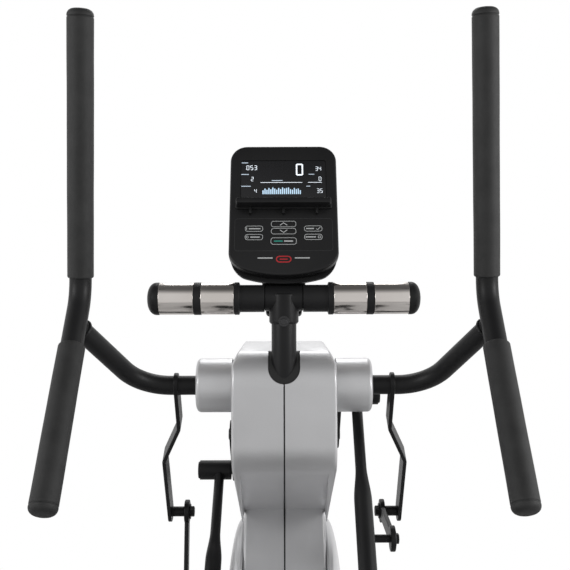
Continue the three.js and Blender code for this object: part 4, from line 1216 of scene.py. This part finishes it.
def gusset():
    """The welded web under the pedal, as a plate seen from the side."""
    under = -PEDAL_HIGH - 0.3
    far = -SETBACK - 230
    web = np.array([(-18, under), (far, under), (far, under - 14), (-190, -190), (-150, -150)])
    centre = web.mean(axis=0)
    outline = lambda inset: centre + (web - centre) * (1 - inset / 60)
    return level(stack(outline, [(LEG_X - 7, 0.8), (LEG_X - 6.2, 0), (LEG_X + 6.2, 0), (LEG_X + 7, 0.8)]))


for side, sign in SIDES:
    piece(f"{side}_arm_tube", sided([hung(part, side) for part in pedal_arm()], sign), powder_coat,
          f"{side}_leg", [f"{side}_pedal_arm"], angle=30)
    cap = disc((SLEEVE_OUT - 0.9, SLEEVE_OUT + 1.8), 15.5, 1.2)
    piece(f"{side}_sleeve_cap", sided([hung(cap, side)], sign), moulded_black, f"{side}_leg")

# %% [markdown]
# The link is a forged strap with a round eye at each end, and each eye has its washer and its bolt.

# %% Links
EYE_R = 20.0
for side, sign in SIDES:
    angle = lean(side)
    stub = crank_pin(side) + np.array([STUB_FORE * math.cos(angle) - STUB_DOWN * math.sin(angle),
                                       -STUB_FORE * math.sin(angle) - STUB_DOWN * math.cos(angle)])
    top = np.array([LEVER_END[0], PIVOT_Z + LEVER_END[1]])
    x0, x1 = LINK_X
    open_eye = rounded([(x0, 6.4), (x0, EYE_R), (x1, EYE_R), (x1, 6.4)], 1.6)
    strap = rounded_plate([toward(top, stub, 22), stub], (12, 12), (x0 + 0.6, x1 - 0.6), 1.6)
    link = [wheel(open_eye, *top, 64), disc(LINK_X, EYE_R, 1.6, (0, *stub), 64), strap,
            disc((x1 - 0.5, x1 + 1.3), 13, 0.5, (0, *stub), 40),
            turned([(x1 + 1, 8.4), (x1 + 5.4, 8.4), (x1 + 6.2, 7.2)], (0, *stub), sides=6)]
    piece(f"{side}_link_strap", sided(link, sign), powder_coat, f"{side}_link_arm", [f"{side}_link"],
          angle=30)

# %% [markdown]
# The pedal is a long moulded tray. Its rim has a constant thickness, and its floor has rows of raised
# treads, which are the same small bar repeated on a grid.

# %% Pedals
TREAD_ALONG, TREAD_ACROSS, STAGGER = 32.0, 34.0, 5.0


def tray_ring(inset, z, centre):
    """The pedal's outline at a height, drawn in by an inset."""
    return in_plane(plain(PEDAL_WIDTH, PEDAL_LENGTH, 30, 3, 10)(inset) + (LEG_X, centre), z, 2)


def pedal():
    """Outer wall up, round rim, inner wall down to the floor, and the treads on the floor."""
    centre = -SETBACK - PEDAL_LENGTH / 2
    bottom, top, floor = -PEDAL_HIGH, PEDAL_RIM - PEDAL_HIGH, -PEDAL_HIGH + 12
    a = np.linspace(0, math.pi, 9)
    rim = [(3.5 - 3.5 * math.cos(t), top - 3.5 + 3.5 * math.sin(t)) for t in a]
    stations = [(5, bottom), (1.5, bottom + 0.8), (0, bottom + 4), *rim,
                (7, floor + 3), (8, floor + 0.8), (11, floor)]
    skins = [skin([tray_ring(inset, z, centre) for inset, z in stations])]
    tread = rounded_outline(24, 7, 3.4, 4)
    for row in range(-4, 5):
        for column in range(-1, 2):
            x = LEG_X + column * TREAD_ACROSS + (STAGGER if row % 2 else -STAGGER)
            y = centre + row * TREAD_ALONG
            skins.append(skin([in_plane(tread * share + (x, y), floor + up, 2)
                               for share, up in ((1.0, -0.5), (1.0, 1.4), (0.82, 2.4))]))
    return [level(part) for part in skins]


for side, sign in SIDES:
    piece(f"{side}_pedal_tray", sided([hung(part, side) for part in pedal()], sign), moulded_black,
          f"{side}_leg", [f"{side}_pedal"], angle=30)
    x0, x1 = LEG_X - ROLLER_W / 2, LEG_X + ROLLER_W / 2
    tyre = rounded([(x0, 6.4), (x0, ROLLER_R), (x1, ROLLER_R), (x1, 6.4)], 2.6)
    piece(f"{side}_roller_tyre", sided([hung(wheel(tyre, 0, -LEG_LENGTH), side)], sign), tyre_rubber,
          f"{side}_roller_wheel", [f"{side}_roller"])
print("arms, links and pedals made")

# %% [markdown]
# ## Drive and base
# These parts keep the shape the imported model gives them. A real part has no razor edges, so a copy of
# each mesh is merged, its edges are rounded with a Bevel modifier, and it takes its finish. The radius
# is chosen for how the part is made: small on machined steel, larger on moulded rubber.

# %% Rounded copies


def rounded_copy(node, material, edge):
    """A merged copy of a node's mesh with a live bevel on its sharp edges, standing for the node."""
    source = frame["nodes"][node]
    mesh = source.data.copy()
    mesh.name = f"{node}_edges"
    cleaned(mesh, 2e-6, math.radians(0.5))
    creased(mesh)
    mesh.materials.clear()
    mesh.materials.append(material)
    copy = bpy.data.objects.new(f"{node}_body", mesh)
    bevel = copy.modifiers.new("edges", "BEVEL")
    bevel.width = edge * MM
    bevel.segments = 2
    bevel.limit_method = "ANGLE"
    bevel.angle_limit = math.radians(CREASE)
    return settle(copy, body_of(source)[0], [node])


feet = [f"{end}_{side}_foot" for end in ("front", "rear") for side in ("left", "right")]
for nodes, material, slot, edge in (
        (["front_stabiliser", "rear_stabiliser", "main_beam"], powder_coat, "black_steel", 1.2),
        (["column_frame"], powder_coat, "black_steel", 0.8),
        (["left_rail", "right_rail"], machined, "bare_steel", 0.8),
        (feet, tyre_rubber, "rubber", 2.5),
        (["left_crank_arm", "right_crank_arm"], powder_coat, "black_steel", 1.2),
        (["drive_belt"], tyre_rubber, "rubber", 0.3)):
    for node in nodes:
        rounded_copy(node, material, edge)

# %% [markdown]
# Wheels, axles and the flywheel are turned parts, so they are made again from their profiles, smooth
# and round. A part with a bore is a ring: its section closes on itself and never reaches the axis.

# %% Turned parts of the drive
HANDLE_AXLE_R, AXLE_R, AXLE_END = 10.0, 12.5, PIVOT_COVER_X[1] + 14
CARRY_HUB, FOOT_BOLT = (437, 36), (262, 380, 49)
piece("handlebar_axle_bar", [disc((-AXLE_END, AXLE_END), HANDLE_AXLE_R, 1.2, FROM_AXLE, inner=0.5)],
      machined, "frame", ["handlebar_axle"])
piece("crank_axle_bar", [disc((-ARM_OUT, ARM_OUT), AXLE_R, 1.0, (0, *CRANK), inner=0.5)],
      machined, "crank", ["crank_axle"])
pulley = rounded([(30, 12.8), (30, 60), (34, 66), (30, 72), (30, 80), (42, 80), (42, 72), (38, 66), (42, 60),
                  (42, 12.8)], 0.8)
piece("pulley_wheel", [wheel(pulley, *CRANK)], moulded_grey, "crank", ["drive_pulley"])
disc_line = rounded([(-32, 0.5), (-32, 10), (30, 10), (30, 18), (44, 18), (44, 30), (49, 30), (49, 135),
                     (46, 140), (46, 165), (62, 165), (62, 0.5)], [0.8, 0.5, 0.8, 0.8, 1, 1, 3, 1, 2, 2])
piece("flywheel_disc", [turned(disc_line, (0, *WHEEL_HUB), sides=128)], cast, "flywheel_set", ["flywheel"])
for side, sign in SIDES:
    tread = rounded([(219, 5.4), (219, 24), (221.5, 28), (238.5, 28), (241, 24), (241, 5.4)], 1.0)
    piece(f"{side}_carry_wheel", sided([wheel(tread, *CARRY_HUB)], sign), tyre_rubber, f"{side}_wheel",
          [f"{side}_transport_wheel"])
    crank_cap = disc((ARM_OUT - 0.5, ARM_OUT + 2.5), 10, 1.0, (0, *CRANK), 40)
    foot_bolt = turned([(0, 7), (5, 7), (6, 5.8)], FOOT_BOLT, UP, 6)
    piece(f"{side}_crank_cap", sided([crank_cap], sign), black_oxide, "crank")
    piece(f"{side}_foot_bolt", sided([foot_bolt], sign), zinc, "frame", angle=20)
print("drive and base made")

# %% [markdown]
# ## Floor
# The machine stands on a plain pale disc, wide enough for its shadow. It ends behind the machine, so
# that ahead of the level camera only the white of the tent is seen.

# %% Floor disc
floor_paint = finish("floor_paint", (0.46, 0.46, 0.46), (0.53, 0.53, 0.53), (0.7, 0.85), 60, 0.0001,
                     cloud=2.0)
FLOOR_R, FLOOR_MIDDLE = 2200.0, (0, -190, 0)
floor_mesh = bare_mesh("floor", [turned([(-20, FLOOR_R), (-0.5, FLOOR_R)], FLOOR_MIDDLE, UP, 128)])
creased(floor_mesh)
floor_mesh.materials.append(floor_paint)
floor = bpy.data.objects.new("floor", floor_mesh)
scene.collection.objects.link(floor)
